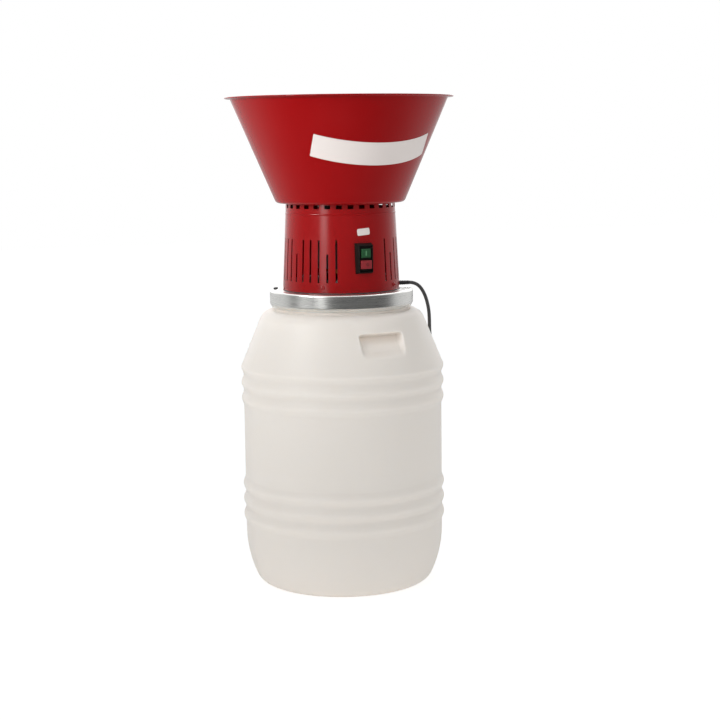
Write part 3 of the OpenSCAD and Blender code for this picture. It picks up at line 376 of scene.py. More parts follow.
# Die-cast aluminium darkened to stand for the shade inside the casing: painted shade.
ALUMINIUM_PAINTED_SHADE = Finish("die_cast", "cast_aluminium", (0.24, 0.25, 0.26, 1.0), Grain.CAST, 0.9, 0.10, 0.45, metal=1.0)
# Copper darkened to stand for the shade inside the casing: painted shade.
COPPER_PAINTED_SHADE = Finish("copper_wire", "copper", (0.36, 0.14, 0.06, 1.0), Grain.WOUND, 0.7, 0.2, 0.35, metal=0.9, gloss=0.4)
BRASS = Finish("bright_brass", "brass", (0.68, 0.48, 0.20, 1.0), Grain.CAST, 0.9, 0.02, 0.28, metal=1.0)
CARBON = Finish("pressed_carbon", "carbon", srgb(40, 40, 42), Grain.CAST, 0.5, 0.06, 0.6)
CASE_GREY = Finish("capacitor_case", "capacitor_plastic", srgb(66, 66, 68), Grain.PEBBLED, 0.8, 0.04, 0.42)
STICKER = Finish("blank_sticker", "red_paint", srgb(214, 206, 202), Grain.SPRAYED, 1.6, 0.02, 0.34,
                 vary=0.03, gloss=0.2)
GREEN_MARK = Finish("start_mark", "green_plastic", srgb(84, 140, 98), Grain.PEBBLED, 0.6, 0.02, 0.4)
RED_MARK = Finish("stop_mark", "red_plastic", srgb(92, 12, 20), Grain.PEBBLED, 0.6, 0.02, 0.4)


# Meshes


def polar(turn: float, reach: float, height: float) -> np.ndarray:
    """A point by its angle from the front, its distance from the axis and its height."""
    angle = math.radians(turn)
    return np.array([reach * math.sin(angle), -reach * math.cos(angle), height])


def arc(centre: Point, radius: float, start: float, end: float, steps: int) -> Outline:
    """Points of an arc in an outline, from one angle to another."""
    turns = np.radians(np.linspace(start, end, steps + 1))
    return [(centre[0] + radius * math.cos(a), centre[1] + radius * math.sin(a)) for a in turns]


def circle(radius: float, steps: int, centre: Point = (0.0, 0.0)) -> Outline:
    """Points of a circle, from its right and counterclockwise."""
    turns = (2 * math.pi * k / steps for k in range(steps))
    return [(centre[0] + radius * math.cos(a), centre[1] + radius * math.sin(a)) for a in turns]


def grid_faces(rows: int, columns: int, first: int = 0, closed: bool = False) -> Faces:
    """Faces between the points of a grid whose rows are rings.

    Args:
        rows: The number of rings.
        columns: The number of points in each.
        first: The number of the grid's first point.
        closed: Whether the last ring joins the first.
    Returns:
        The faces, ring by ring.
    """
    faces: Faces = []
    for i in range(rows if closed else rows - 1):
        low, high = first + i * columns, first + (i + 1) % rows * columns
        faces += [(low + k, low + (k + 1) % columns, high + (k + 1) % columns, high + k) for k in range(columns)]
    return faces


def end_faces(rows: int, columns: int, first: int = 0) -> Faces:
    """The two faces that close the ends of such a grid."""
    last = first + (rows - 1) * columns
    return [tuple(range(first + columns - 1, first - 1, -1)), tuple(range(last, last + columns))]


def add_object(name: str, data: Any) -> Object:
    """Adds an object with this data to the scene, and returns it."""
    made = bpy.data.objects.new(name, data)
    bpy.context.scene.collection.objects.link(made)
    return made


def face_outwards(work: bmesh.types.BMesh) -> None:
    """Turns a closed mesh's faces outwards."""
    bmesh.ops.recalc_face_normals(work, faces=work.faces)


def smooth_faces(mesh: bpy.types.Mesh, angle: float = 32.0) -> None:
    """Shades a mesh smooth, with edges kept where it turns by more than the angle."""
    mesh.shade_smooth()
    mesh.set_sharp_from_angle(angle=math.radians(angle))


def mesh_object(name: str, points: Any, faces: Iterable[Sequence[int]], finish: Finish,
                angle: float = 32.0) -> Object:
    """Makes an object of points in millimetres.

    Args:
        name: The object's name.
        points: Its points.
        faces: Its faces, by point number.
        finish: Its finish.
        angle: The least angle of a sharp edge.
    Returns:
        The object.
    """
    mesh = bpy.data.meshes.new(name)
    mesh.from_pydata((np.asarray(points, float) * MM).tolist(), [], [tuple(face) for face in faces])
    mesh.materials.append(finish.material())
    smooth_faces(mesh, angle)
    return add_object(name, mesh)


def settle(obj: Object, angle: float = 32.0) -> Object:
    """Makes an object's modifiers part of its mesh, and returns the object."""
    graph = bpy.context.evaluated_depsgraph_get()
    graph.update()
    made = bpy.data.meshes.new_from_object(
        obj.evaluated_get(graph), preserve_all_data_layers=True, depsgraph=graph)
    old = obj.data
    obj.modifiers.clear()
    obj.data = made
    if old.users == 0:
        bpy.data.meshes.remove(old)
    made.name = obj.name
    smooth_faces(made, angle)
    return obj


def edit(obj: Object, change: Callable[[bmesh.types.BMesh], None], angle: float = 32.0) -> Object:
    """Changes an object's mesh through bmesh, and returns the object."""
    work = bmesh.new()
    work.from_mesh(obj.data)
    change(work)
    work.to_mesh(obj.data)
    work.free()
    smooth_faces(obj.data, angle)
    return obj


def soften(obj: Object, width: float, segments: int = 3, angle: float = 35.0) -> Object:
    """Rounds an object's sharp edges.

    Args:
        obj: The object.
        width: The width of the rounding in millimetres.
        segments: Its segments.
        angle: The least angle of an edge that is rounded.
    Returns:
        The object.
    """
    bevel = obj.modifiers.new("edges", "BEVEL")
    bevel.width = width * MM
    bevel.segments = segments
    bevel.limit_method = "ANGLE"
    bevel.angle_limit = math.radians(angle)
    bevel.use_clamp_overlap = True
    bevel.miter_outer = "MITER_ARC"
    return settle(obj, 40.0)


def copy_of(node: str, finish: Finish, name: str) -> Object:
    """A welded copy of a CAD node that stands for it.

    Args:
        node: The CAD node.
        finish: The copy's finish.
        name: The copy's name.
    Returns:
        The copy, with flat faces made whole.
    """
    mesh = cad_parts[node].data.copy()
    mesh.name = name
    mesh.materials.clear()
    mesh.materials.append(finish.material())
    if "custom_normal" in mesh.attributes:
        mesh.attributes.remove(mesh.attributes["custom_normal"])

    def weld(work: bmesh.types.BMesh) -> None:
        """Merges the loose triangles and drops the lines across flat faces."""
        bmesh.ops.remove_doubles(work, verts=work.verts, dist=MERGE)
        bmesh.ops.dissolve_limit(work, angle_limit=math.radians(FLAT), verts=work.verts, edges=work.edges)

    return edit(add_object(name, mesh), weld)


def place(obj: Object, body: str, finish: Finish, *nodes: str) -> Object:
    """Sets a piece on a body and the CAD nodes that it stands for, and reports it."""
    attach(obj, body)
    if nodes:
        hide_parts(*nodes)
    log.info("%s: %d faces on %s", obj.name, len(obj.data.polygons), body)
    return obj


def place_softened(node: str, finish: Finish, name: str, body: str, width: float, segments: int = 3) -> Object:
    """Sets a copy of a CAD node with rounded edges on its body, in the node's stead.

    Args:
        node: The CAD node.
        finish: The copy's finish.
        name: The copy's name.
        body: The body that it rides on.
        width: The width of the rounding in millimetres.
        segments: The rounding's segments.
    Returns:
        The copy.
    """
    return place(soften(copy_of(node, finish, name), width, segments), body, finish, node)


def dress(node: str, finish: Finish) -> None:
    """Gives a CAD node a finish."""
    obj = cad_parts[node]
    if obj.material_slots:
        obj.material_slots[0].material = finish.material()
    else:
        obj.data.materials.append(finish.material())
    log.info("%s: CAD node in %s", node, finish.name)


def drop(*objs: Object) -> None:
    """Removes helper objects and their meshes."""
    for obj in objs:
        mesh = obj.data
        bpy.data.objects.remove(obj)
        if mesh.users == 0:
            bpy.data.meshes.remove(mesh)


# Geometry Nodes


class GeometryTree:
    """A Geometry Nodes tree with named inputs that turns an object's mesh into a finished one."""

    def __init__(self, name: str, inputs: dict[str, str]) -> None:
        """Makes the tree.

        Args:
            name: The tree's name.
            inputs: Socket types by input name.
        """
        self.tree = bpy.data.node_groups.new(name, "GeometryNodeTree")
        face = self.tree.interface
        face.new_socket("Geometry", in_out="INPUT", socket_type="NodeSocketGeometry")
        for key, kind in inputs.items():
            face.new_socket(key, in_out="INPUT", socket_type=kind)
        face.new_socket("Geometry", in_out="OUTPUT", socket_type="NodeSocketGeometry")
        self.graph = Graph(self.tree)
        self.given = self.graph.raw("NodeGroupInput").outputs
        self.build()

    def build(self) -> None:
        """Adds the tree's nodes; each kind of tree has its own."""
        raise NotImplementedError

    def close(self, geometry: bpy.types.NodeSocket) -> None:
        """Ends the tree: real meshes, one material, output."""
        real = self.graph.raw("GeometryNodeRealizeInstances", None, {"Geometry": geometry})
        painted = self.graph.raw("GeometryNodeSetMaterial", None, {
            "Geometry": real.outputs[0], "Material": self.given["Material"]})
        self.graph.raw("NodeGroupOutput", None, {0: painted.outputs[0]})

    def run(self, obj: Object, values: dict[str, Any]) -> Object:
        """Runs the tree on an object and keeps the result as its mesh.

        Args:
            obj: The object whose mesh goes in.
            values: Values by input name.
        Returns:
            The object.
        """
        modifier = obj.modifiers.new("tree", "NODES")
        modifier.node_group = self.tree
        names = {item.name: item.identifier for item in self.tree.interface.items_tree if item.in_out == "INPUT"}
        for key, value in values.items():
            modifier[names[key]] = value
        return settle(obj)


class RevolveTree(GeometryTree):
    """Turns an outline round the Z axis. The outline's points count from the rail's radius."""

    RAIL = 0.1

    def __init__(self) -> None:
        """Makes the tree."""
        super().__init__("revolve_outline", {"Segments": "NodeSocketInt", "Material": "NodeSocketMaterial"})

    def build(self) -> None:
        """A circle as the rail, the outline swept along it, and the poles merged."""
        rail = self.graph.raw("GeometryNodeCurvePrimitiveCircle", {"mode": "RADIUS"}, {
            "Resolution": self.given["Segments"], "Radius": self.RAIL})
        line = self.graph.raw("GeometryNodeMeshToCurve", None, {"Mesh": self.given["Geometry"]})
        swept = self.graph.raw("GeometryNodeCurveToMesh", None, {
            "Curve": rail.outputs["Curve"], "Profile Curve": line.outputs[0]})
        merged = self.graph.raw("GeometryNodeMergeByDistance", None, {
            "Geometry": swept.outputs[0], "Distance": 2 * MERGE})
        self.close(merged.outputs[0])

    def revolve(self, name: str, outline: Outline, finish: Finish, segments: int = 192,
                closed: bool = True, angle: float = 32.0) -> Object:
        """Makes a turned piece.

        Args:
            name: The piece's name.
            outline: Radius and height of each point.
            finish: The piece's finish.
            segments: Steps round the axis.
            closed: Whether the last point joins the first.
            angle: The least angle of a sharp edge.
        Returns:
            The piece.
        """
        points = [(r - self.RAIL / MM, -z, 0.0) for r, z in outline]
        mesh = bpy.data.meshes.new(name)
        count = len(points)
        edges = [(i, i + 1) for i in range(count - 1)] + ([(count - 1, 0)] if closed else [])
        mesh.from_pydata((np.array(points) * MM).tolist(), edges, [])
        obj = add_object(name, mesh)
        self.run(obj, {"Segments": segments, "Material": finish.material()})

        def clean(work: bmesh.types.BMesh) -> None:
            """Drops faces without area and turns the rest outwards."""
            bmesh.ops.dissolve_degenerate(work, dist=MERGE, edges=work.edges)
            face_outwards(work)

        return edit(obj, clean, angle)


class RoundTree(GeometryTree):
    """Sets a piece at each point of a mesh, with its +X looking away from the Z axis."""

    def __init__(self) -> None:
        """Makes the tree."""
        super().__init__("pieces_round_axis", {
            "Piece": "NodeSocketObject", "Lean": "NodeSocketFloat", "Material": "NodeSocketMaterial"})

    def build(self) -> None:
        """Instances at the points, turned outwards and leaned."""
        source = self.graph.raw("GeometryNodeObjectInfo", None, {"Object": self.given["Piece"]})
        spot = self.graph.raw("GeometryNodeInputPosition").outputs[0]
        flat = self.graph.raw("ShaderNodeVectorMath", {"operation": "MULTIPLY"}, {0: spot, 1: (1.0, 1.0, 0.0)})
        turned = self.graph.raw("FunctionNodeAlignRotationToVector", {"axis": "X", "pivot_axis": "Z"}, {
            "Vector": flat.outputs[0]})
        lean = self.graph.raw("ShaderNodeCombineXYZ", None, {1: self.given["Lean"]})
        tilt = self.graph.raw("FunctionNodeEulerToRotation", None, {0: lean.outputs[0]})
        both = self.graph.raw("FunctionNodeRotateRotation", {"rotation_space": "LOCAL"}, {
            0: turned.outputs[0], 1: tilt.outputs[0]})
        set_out = self.graph.raw("GeometryNodeInstanceOnPoints", None, {
            "Points": self.given["Geometry"], "Instance": source.outputs["Geometry"], "Rotation": both.outputs[0]})
        self.close(set_out.outputs[0])

    def spread(self, name: str, piece: Object, spots: Sequence[np.ndarray], finish: Finish,
               lean: float = 0.0) -> Object:
        """Repeats a piece.

        Args:
            name: The result's name.
            piece: The piece, which is removed afterwards.
            spots: Where it goes, in millimetres.
            finish: The result's finish.
            lean: How far each copy leans back, in degrees.
        Returns:
            One object with all copies.
        """
        obj = mesh_object(name, spots, [], finish)
        self.run(obj, {"Piece": piece, "Lean": math.radians(lean), "Material": finish.material()})
        drop(piece)
        return obj


@dataclass
class Shop:
    """The two trees that all sub-assemblies share."""

    lathe: RevolveTree = field(default_factory=RevolveTree)
    jig: RoundTree = field(default_factory=RoundTree)


def carve(obj: Object, rings: Sequence[Outline], low: float, high: float) -> None:
    """Cuts upright prisms out of an object.

    Args:
        obj: The object that is cut.
        rings: The corners of each prism, counterclockwise from above.
        low: The height at which the prisms start.
        high: The height at which they end.
    """
    points: list[tuple[float, float, float]] = []
    faces: Faces = []
    for ring in rings:
        faces += grid_faces(2, len(ring), len(points)) + end_faces(2, len(ring), len(points))
        points += [(x, y, z) for z in (low, high) for x, y in ring]
    cutter = mesh_object("cutter", points, faces, RED_PAINT)
    modifier = obj.modifiers.new("cut", "BOOLEAN")
    modifier.operation = "DIFFERENCE"
    modifier.solver = "EXACT"
    modifier.object = cutter
    settle(obj)
    drop(cutter)


def cut_holes(obj: Object, holes: Sequence[tuple[float, float, float]], low: float, high: float) -> None:
    """Cuts upright round holes, each given by its centre and radius, between two heights."""
    steps = 48
    carve(obj, [circle(r, steps, (x, y)) for x, y, r in holes], low, high)


def sheet_patch(name: str, finish: Finish, wrap: Callable[[float, float, float], np.ndarray], width: float,
                height: float, corner: float, lift: float, thick: float, steps: tuple[int, int]) -> Object:
    """A thin patch with round corners, wrapped on a surface.

    Args:
        name: The patch's name.
        finish: Its finish.
        wrap: Gives a point for a place across, a place up and a height over the surface.
        width: Its width.
        height: Its height.
        corner: The radius of its corners.
        lift: The gap under it.
        thick: Its thickness.
        steps: Steps across and up.
    Returns:
        The patch.
    """
    half, tall = width / 2, height / 2
    ends = np.linspace(0, corner, 6)
    middle = np.linspace(-half + corner, half - corner, steps[0])
    columns = sorted({round(v, 4) for v in (*(-half + ends), *middle, *(half - ends))})
    rows = np.linspace(-1, 1, steps[1])
    points, faces = [], []
    for over in (lift, lift + thick):
        for u in columns:
            inside = max(0.0, abs(u) - half + corner)
            reach = tall - corner + math.sqrt(max(0.0, corner * corner - inside * inside))
            points += [wrap(u, v * reach, over) for v in rows]
    n, m = len(columns), len(rows)
    base = n * m
    for i in range(n - 1):
        for j in range(m - 1):
            a, b, c, d = i * m + j, (i + 1) * m + j, (i + 1) * m + j + 1, i * m + j + 1
            faces += [(d, c, b, a), (base + a, base + b, base + c, base + d)]
    edge = [i * m for i in range(n)] + [(n - 1) * m + j for j in range(1, m)]
    edge += [i * m + m - 1 for i in reversed(range(n - 1))] + [j for j in reversed(range(1, m - 1))]
    faces += [(a, b, base + b, base + a) for a, b in zip(edge, edge[1:] + edge[:1])]
    return mesh_object(name, points, faces, finish, 40.0)


# Barrel


@dataclass
class FlourBarrel:
    """The ribbed plastic barrel: one moulded wall with two grip pockets and a parting line."""

    wall_r: float = 176.5
    wall: float = 3.0
    rib_h: float = 4.0
    rib_pitch: float = 28.0
    rib_count: int = 3
    low_rib_z: float = 122.0
    shoulder_foot_z: float = 388.5
    shoulder_z: float = 489.0
    shoulder_corner: float = 26.0
    neck_r: float = 121.5
    ledge_w: float = 0.5
    mouth_z: float = 519.0
    sweep_r: float = 195.0
    sweep_z: float = 95.0
    foot_corner: float = 23.0
    grip_turn: float = 4.0
    grip_w: float = 82.0
    grip_z: float = 420.0
    grip_h: float = 38.0
    grip_depth: float = 22.0
    grip_lip: float = 7.0
    grip_soft: float = 9.5
    seam_h: float = 0.45
    seam_w: float = 1.0
    edge_r: float = 5.0
    base: tuple[tuple[float, float], ...] = (
        (0.0, 3.0), (60.0, 3.0), (112.0, 3.0), (119.0, 2.4), (126.0, 0.5), (130.0, 0.0))
    neck_bead: tuple[tuple[float, float], ...] = ((0, 0), (8, 0), (12, 0.8), (15, 0.8), (17, 0))

    def shoulder(self) -> tuple[tuple[float, float], tuple[float, float], float]:
        """The corner's centre, the shoulder's foot and the shoulder's tilt."""
        centre = (self.neck_r + self.ledge_w, self.shoulder_z - self.shoulder_corner)
        foot = (self.wall_r + self.rib_h, self.shoulder_foot_z)
        across, up = foot[0] - centre[0], foot[1] - centre[1]
        tilt = math.atan2(up, across) + math.acos(self.shoulder_corner / math.hypot(across, up))
        return centre, foot, math.degrees(tilt)

    def shoulder_r(self, z: float) -> float:
        """The shoulder's radius at a height."""
        _, foot, tilt = self.shoulder()
        return foot[0] - (z - foot[1]) * math.tan(math.radians(tilt))

    def rib(self, z: float, crest: float) -> float:
        """How far a rib stands out at a height."""
        return self.rib_h * (1 + math.cos(2 * math.pi * (z - crest) / self.rib_pitch)) / 2

    def outline(self) -> Outline:
        """The outer wall from the middle of the base to the mouth."""
        drop_h = self.sweep_z - self.foot_corner
        reach = self.sweep_r - self.foot_corner
        foot_r = self.wall_r - self.sweep_r + math.sqrt(reach ** 2 - drop_h ** 2)
        turn = -math.degrees(math.asin(drop_h / reach))
        centre, foot, tilt = self.shoulder()
        high_rib_z = self.shoulder_foot_z - (self.rib_count - 1) * self.rib_pitch
        steps = 14
        low = [self.low_rib_z - self.rib_pitch / 2 + i * self.rib_pitch / steps
               for i in range(self.rib_count * steps + 1)]
        high = [high_rib_z - self.rib_pitch / 2 + i * self.rib_pitch / steps
                for i in range(int((self.rib_count - 0.5) * steps))]
        line: Outline = list(self.base)
        line += arc((foot_r, self.foot_corner), self.foot_corner, -90, turn, 10)
        line += arc((self.wall_r - self.sweep_r, self.sweep_z), self.sweep_r, turn, 0, 12)[1:]
        line += [(self.wall_r + self.rib(z, self.low_rib_z), z) for z in low]
        # The plain wall is straight, so it has a row near each end and none between.
        line += [(self.wall_r, z) for z in np.linspace(low[-1], high[0], 8)[[1, -2]]]
        line += [(self.wall_r + self.rib(z, high_rib_z), z) for z in high]
        top = arc(centre, self.shoulder_corner, tilt, 90, 12)
        line += arc((foot[0] - self.edge_r, foot[1]), self.edge_r, 4, tilt, 4)
        line += [(self.shoulder_r(z), z) for z in self.shoulder_rows(foot[1] + 3.5, top[0][1])]
        line += top
        line += [(self.neck_r + out, self.shoulder_z + up) for up, out in self.neck_bead]
        line += [(self.neck_r, self.mouth_z - 1.0), (self.neck_r - 0.6, self.mouth_z)]
        return line

    def shoulder_rows(self, low: float, high: float) -> list[float]:
        """Heights over the shoulder, close together at the pockets' edges."""
        grip_top = self.grip_z + self.grip_h
        rows = set(np.linspace(low, high, 12)[1:-1].round(3))
        for edge in (self.grip_z, grip_top):
            rows |= set((edge + np.linspace(-self.grip_soft, self.grip_soft, 15)).round(3))
        rows |= set(np.linspace(self.grip_z + self.grip_soft, grip_top - self.grip_soft, 8).round(3))
        kept: list[float] = []
        for z in sorted(rows):
            if low < z < high and (not kept or z - kept[-1] > 0.3):
                kept.append(float(z))
        return kept

    def turns(self) -> np.ndarray:
        """Angles of the grid's columns, close together at the pockets' sides and the parting line."""
        turns = set(np.arange(0, 360, 2.0))
        for side in (0, 180):
            middle = self.grip_turn + side
            for sign in (-1, 1):
                turns |= set((middle + sign * np.arange(11.5, 18.6, 0.3)).round(3) % 360)
                seam = (middle + 90) % 360
                turns |= set((seam + np.arange(-0.8, 0.81, 0.16)).round(3) % 360)
        kept: list[float] = []
        for turn in sorted(turns):
            if not kept or turn - kept[-1] > 0.12:
                kept.append(float(turn))
        return np.array(kept)

    def pressed(self, r: np.ndarray, z: np.ndarray, turn: np.ndarray) -> tuple[np.ndarray, np.ndarray]:
        """Presses the pockets and raises the parting line.

        Args:
            r: Radii of the grid's points.
            z: Their heights.
            turn: Their angles.
        Returns:
            Their x and y.
        """
        def soft(value: np.ndarray, low: float, high: float) -> np.ndarray:
            """A smooth step between two values."""
            t = np.clip((value - low) / (high - low), 0, 1)
            return t * t * (3 - 2 * t)

        grip_top = self.grip_z + self.grip_h
        floor_low = self.shoulder_r(self.grip_z) - self.grip_lip
        floor_high = self.shoulder_r(grip_top) - self.grip_depth
        share = np.clip((z - self.grip_z) / self.grip_h, -0.2, 1.1)
        floor = floor_low + (floor_high - floor_low) * share
        for side in (0, 180):
            seam = np.radians(turn - self.grip_turn - side - 90)
            gap = r * np.abs(np.arctan2(np.sin(seam), np.cos(seam)))
            r = r + self.seam_h * np.exp(-(gap / self.seam_w) ** 2) * (z > 4) * (z < self.shoulder_z)
        out_x = r * np.sin(np.radians(turn))
        out_y = -r * np.cos(np.radians(turn))
        for side in (0, 180):
            a = math.radians(self.grip_turn + side)
            away = np.array([math.sin(a), -math.cos(a)])
            level = np.array([math.cos(a), math.sin(a)])
            ahead = out_x * away[0] + out_y * away[1]
            beside = out_x * level[0] + out_y * level[1]
            half, give = self.grip_w / 2, self.grip_soft
            mask = soft(np.abs(beside), half + give * 0.25, half - give * 0.75)
            mask *= soft(z, self.grip_z - give * 0.4, self.grip_z + give)
            mask *= soft(z, grip_top + give * 0.2, grip_top - give * 0.6)
            inward = np.where(ahead > 0, np.maximum(0, ahead - floor) * mask, 0)
            out_x = out_x - inward * away[0]
            out_y = out_y - inward * away[1]
        return out_x, out_y

    def build(self) -> None:
        """Builds the barrel as one closed wall."""
        line = np.array(self.outline())
        turns = self.turns()
        r, turn = np.meshgrid(line[1:, 0], turns, indexing="ij")
        z = np.meshgrid(line[1:, 1], turns, indexing="ij")[0]
        x, y = self.pressed(r, z, turn)
        rows, columns = r.shape
        points = np.concatenate([[[0, 0, line[0, 1]]], np.stack([x, y, z], -1).reshape(-1, 3)])
        quads = grid_faces(rows, columns, 1)
        faces: Faces = []
        for k in range(columns):
            faces += [(0, 1 + (k + 1) % columns, 1 + k), *quads[k::columns]]
        barrel = mesh_object("flour_barrel", points, faces, HDPE, 60.0)
        wall = barrel.modifiers.new("wall", "SOLIDIFY")
        wall.thickness = self.wall * MM
        wall.offset = -1.0
        settle(barrel, 60.0)
        place(barrel, "barrel", HDPE, "barrel")


# Lid


@dataclass
class PanLid:
    """The pressed steel pan that closes the barrel, with its gasket and a small rubber tab on its top."""

    shop: Shop
    top_z: float = 523.5
    radius: float = 127.0
    height: float = 28.5
    sheet: float = 1.2
    corner: float = 3.0
    bead: float = 1.5
    curl_w: float = 3.7
    curl_h: float = 7.0
    feed: tuple[float, float, float] = (0.0, 62.0, 16.25)
    seal_r: float = 13.05
    bolt_reach: float = 38.0
    bolt_r: float = 2.7
    line_r: float = 108.5
    line_w: float = 1.0
    line_h: float = 0.25
    tab_turn: float = -119.0
    tab_reach: float = 118.0

    def build(self) -> None:
        """Builds the pan, cuts its holes and dresses the gasket."""
        outer = (self.radius - self.corner, self.top_z - self.corner)
        low = self.top_z - self.height - self.bead
        curl = [(self.radius - self.curl_w * t, low + self.curl_h * (1 - t)) for t in np.linspace(0, 1, 10)]
        line: Outline = [(0.0, self.top_z), (self.line_r - self.line_w, self.top_z),
                         (self.line_r, self.top_z - self.line_h), (self.line_r + self.line_w, self.top_z)]
        line += arc(outer, self.corner, 90, 0, 10)
        # Points close to both ends of the straight wall keep its shading even.
        line += [(self.radius, outer[1] - 0.4), (self.radius, curl[0][1] + 0.5)]
        line += curl + [(curl[-1][0] - 0.35, curl[-1][1] + 0.25)]
        line += [(r - self.sheet * 0.75, z + self.sheet * 0.6) for r, z in curl[::-3]]
        line += arc(outer, self.corner - self.sheet, 0, 90, 10)
        line += [(0.0, self.top_z - self.sheet)]
        lid = self.shop.lathe.revolve("pan_lid", line, LID_STEEL, 256, closed=False, angle=50.0)
        holes = [self.feed, (0.0, 0.0, self.seal_r)]
        holes += [(*polar(turn, self.bolt_reach, 0)[:2], self.bolt_r) for turn in (45, 135, 225, 315)]
        cut_holes(lid, holes, self.top_z - 4, self.top_z + 3)
        place(lid, "head", LID_STEEL, "lid")
        dress("lid_gasket", RUBBER)
        self.build_tab()

    def build_tab(self) -> None:
        """The black rubber tab on the lid's top, near its edge."""
        def wrap(u: float, v: float, over: float) -> np.ndarray:
            """A place on the lid's top."""
            turn = self.tab_turn + math.degrees(u / self.tab_reach)
            return polar(turn, self.tab_reach + v, self.top_z + over)

        tab = sheet_patch("lid_tab", RUBBER, wrap, width=19.0, height=6.0, corner=2.5, lift=0.02, thick=2.2,
                          steps=(10, 5))
        place(soften(tab, 0.6), "head", RUBBER)


# Motor casing


@dataclass
class MotorCasing:
    """The red tapered casing: vented sheet, rolled groove, pressed screw seats, screws and a blank plate."""

    shop: Shop
    foot_z: float = 523.5
    top_z: float = 676.5
    foot_r: float = 103.5
    top_r: float = 96.0
    screw_z: float = 534.0
    screw_turns: tuple[float, ...] = (-40.5, 40.5, -139.5, 139.5)
    groove_z: float = 658.6
    plate_z: float = 629.0
    plate_w: float = 23.2
    plate_h: float = 11.6
    plate_turn: float = 0.9
    plate_lean: float = 4.5
    wall_match: float = 0.985

    def radius(self, z: float) -> float:
        """The casing's outer radius at a height."""
        return self.foot_r + (self.top_r - self.foot_r) * (z - self.foot_z) / (self.top_z - self.foot_z)

    def lean(self) -> float:
        """How far the wall leans in, in degrees."""
        return math.degrees(math.atan2(self.foot_r - self.top_r, self.top_z - self.foot_z))

    def build(self) -> None:
        """Builds the casing's pieces."""
        shell = copy_of("motor_housing", RED_PAINT, "casing_shell")
        self.round_wall(soften(shell, 0.35, 2))
        place(shell, "head", RED_PAINT, "motor_housing")
        self.build_groove()
        self.build_screws()

        def wrap(u: float, v: float, over: float) -> np.ndarray:
            """A place on the casing, above the switch, on a plate that isn't quite level."""
            lean = math.radians(self.plate_lean)
            z = self.plate_z + v * math.cos(lean) + u * math.sin(lean)
            r = self.radius(z)
            turn = math.degrees((u * math.cos(lean) - v * math.sin(lean)) / r)
            return polar(self.plate_turn + turn, r + over, z)

        plate = sheet_patch("blank_plate", STICKER, wrap, width=self.plate_w, height=self.plate_h, corner=2.5,
                            lift=0.03, thick=0.35, steps=(14, 5))
        place(plate, "head", STICKER)

    def round_wall(self, shell: Object) -> None:
        """Gives the wall the normals of a true cone, so that its vents leave no marks in the gloss."""
        lean = math.radians(self.lean())
        mesh = shell.data

        def outward(spot: Vector) -> Vector:
            """The cone's normal at a point."""
            level = spot.xy.normalized() * math.cos(lean)
            return Vector((level.x, level.y, math.sin(lean)))

        normals = [Vector(corner.vector) for corner in mesh.corner_normals]
        for face in mesh.polygons:
            side = face.normal.dot(outward(face.center))
            if abs(side) > self.wall_match:
                for loop in face.loop_indices:
                    spot = mesh.vertices[mesh.loops[loop].vertex_index].co
                    normals[loop] = outward(spot) * math.copysign(1.0, side)
        mesh.normals_split_custom_set(normals)

    def build_groove(self) -> None:
        """The rolled bead under the windows, and a dark rubber ring at the casing's foot that stands for the shadow
        line there: painted shade.
        """
        sunk = 0.25
        # The dark ring at the foot is painted shade: it stands for the shadow line where the casing meets the lid.
        for name, z, half, out, finish in (("casing_groove", self.groove_z, 1.6, 0.45, RED_PAINT),
                                           ("casing_seal", self.foot_z + 0.75, 0.72, 0.3, RUBBER)):
            rows = np.linspace(-half, half, 9)
            line = [(self.radius(z + v) + out * (1 - (v / half) ** 2) ** 0.75, z + v) for v in rows]
            line += [(self.radius(z + v) - sunk, z + v) for v in rows[::-1]]
            ring = self.shop.lathe.revolve(name, line, finish, 192, angle=70.0)
            place(ring, "head", finish)

    def build_screws(self) -> None:
        """Pan-head screws with a cross recess, each in a pressed seat."""
        spots = [polar(turn, self.radius(self.screw_z), self.screw_z) for turn in self.screw_turns]
        screw = pan_screw(self.shop, head_r=3.6, head_t=2.2, shank_r=2.0, length=8.0)
        screws = self.shop.jig.spread("casing_screws", screw, spots, RED_HEAD, -self.lean())
        place(screws, "head", RED_HEAD, "housing_screws")
        seat = ring_bead("seat", RED_PAINT, radius=9.5, proud=0.2, bend=self.radius(self.screw_z))
        seats = self.shop.jig.spread("screw_seats", seat, spots, RED_PAINT, -self.lean())
        place(seats, "head", RED_PAINT)


def pan_screw(shop: Shop, head_r: float, head_t: float, shank_r: float, length: float) -> Object:
    """A pan-head screw along +X: the head's seat is at the origin.

    Args:
        shop: The shared trees.
        head_r: The head's radius.
        head_t: Its height.
        shank_r: The shank's radius.
        length: The shank's length.
    Returns:
        The screw.
    """
    seat, clear = 0.25, 0.5
    top = seat + head_t
    dome = np.radians((25, 45, 62, 76, 84))
    line: Outline = [(0.0, -length), (shank_r - 0.4, -length), (shank_r, -length + 0.5), (shank_r, seat),
                     (head_r - 0.1, seat), (head_r, 0.4), (head_r, head_t * 0.45)]
    line += [(head_r * math.cos(a), seat + head_t * (0.3 + 0.7 * math.sin(a))) for a in dome]
    line += [(0.0, top)]
    screw = shop.lathe.revolve("screw", line, ZINC, 32, closed=False)
    bar, wide, deep = head_r * 0.62, head_r * 0.12, head_t * 0.6
    corners = [(-bar, -wide), (-wide, -wide), (-wide, -bar), (wide, -bar), (wide, -wide), (bar, -wide),
               (bar, wide), (wide, wide), (wide, bar), (-wide, bar), (-wide, wide), (-bar, wide)]
    carve(screw, [corners], top - deep, top + clear)
    screw.data.transform(Matrix.Rotation(math.radians(90), 4, "Y"))
    return screw


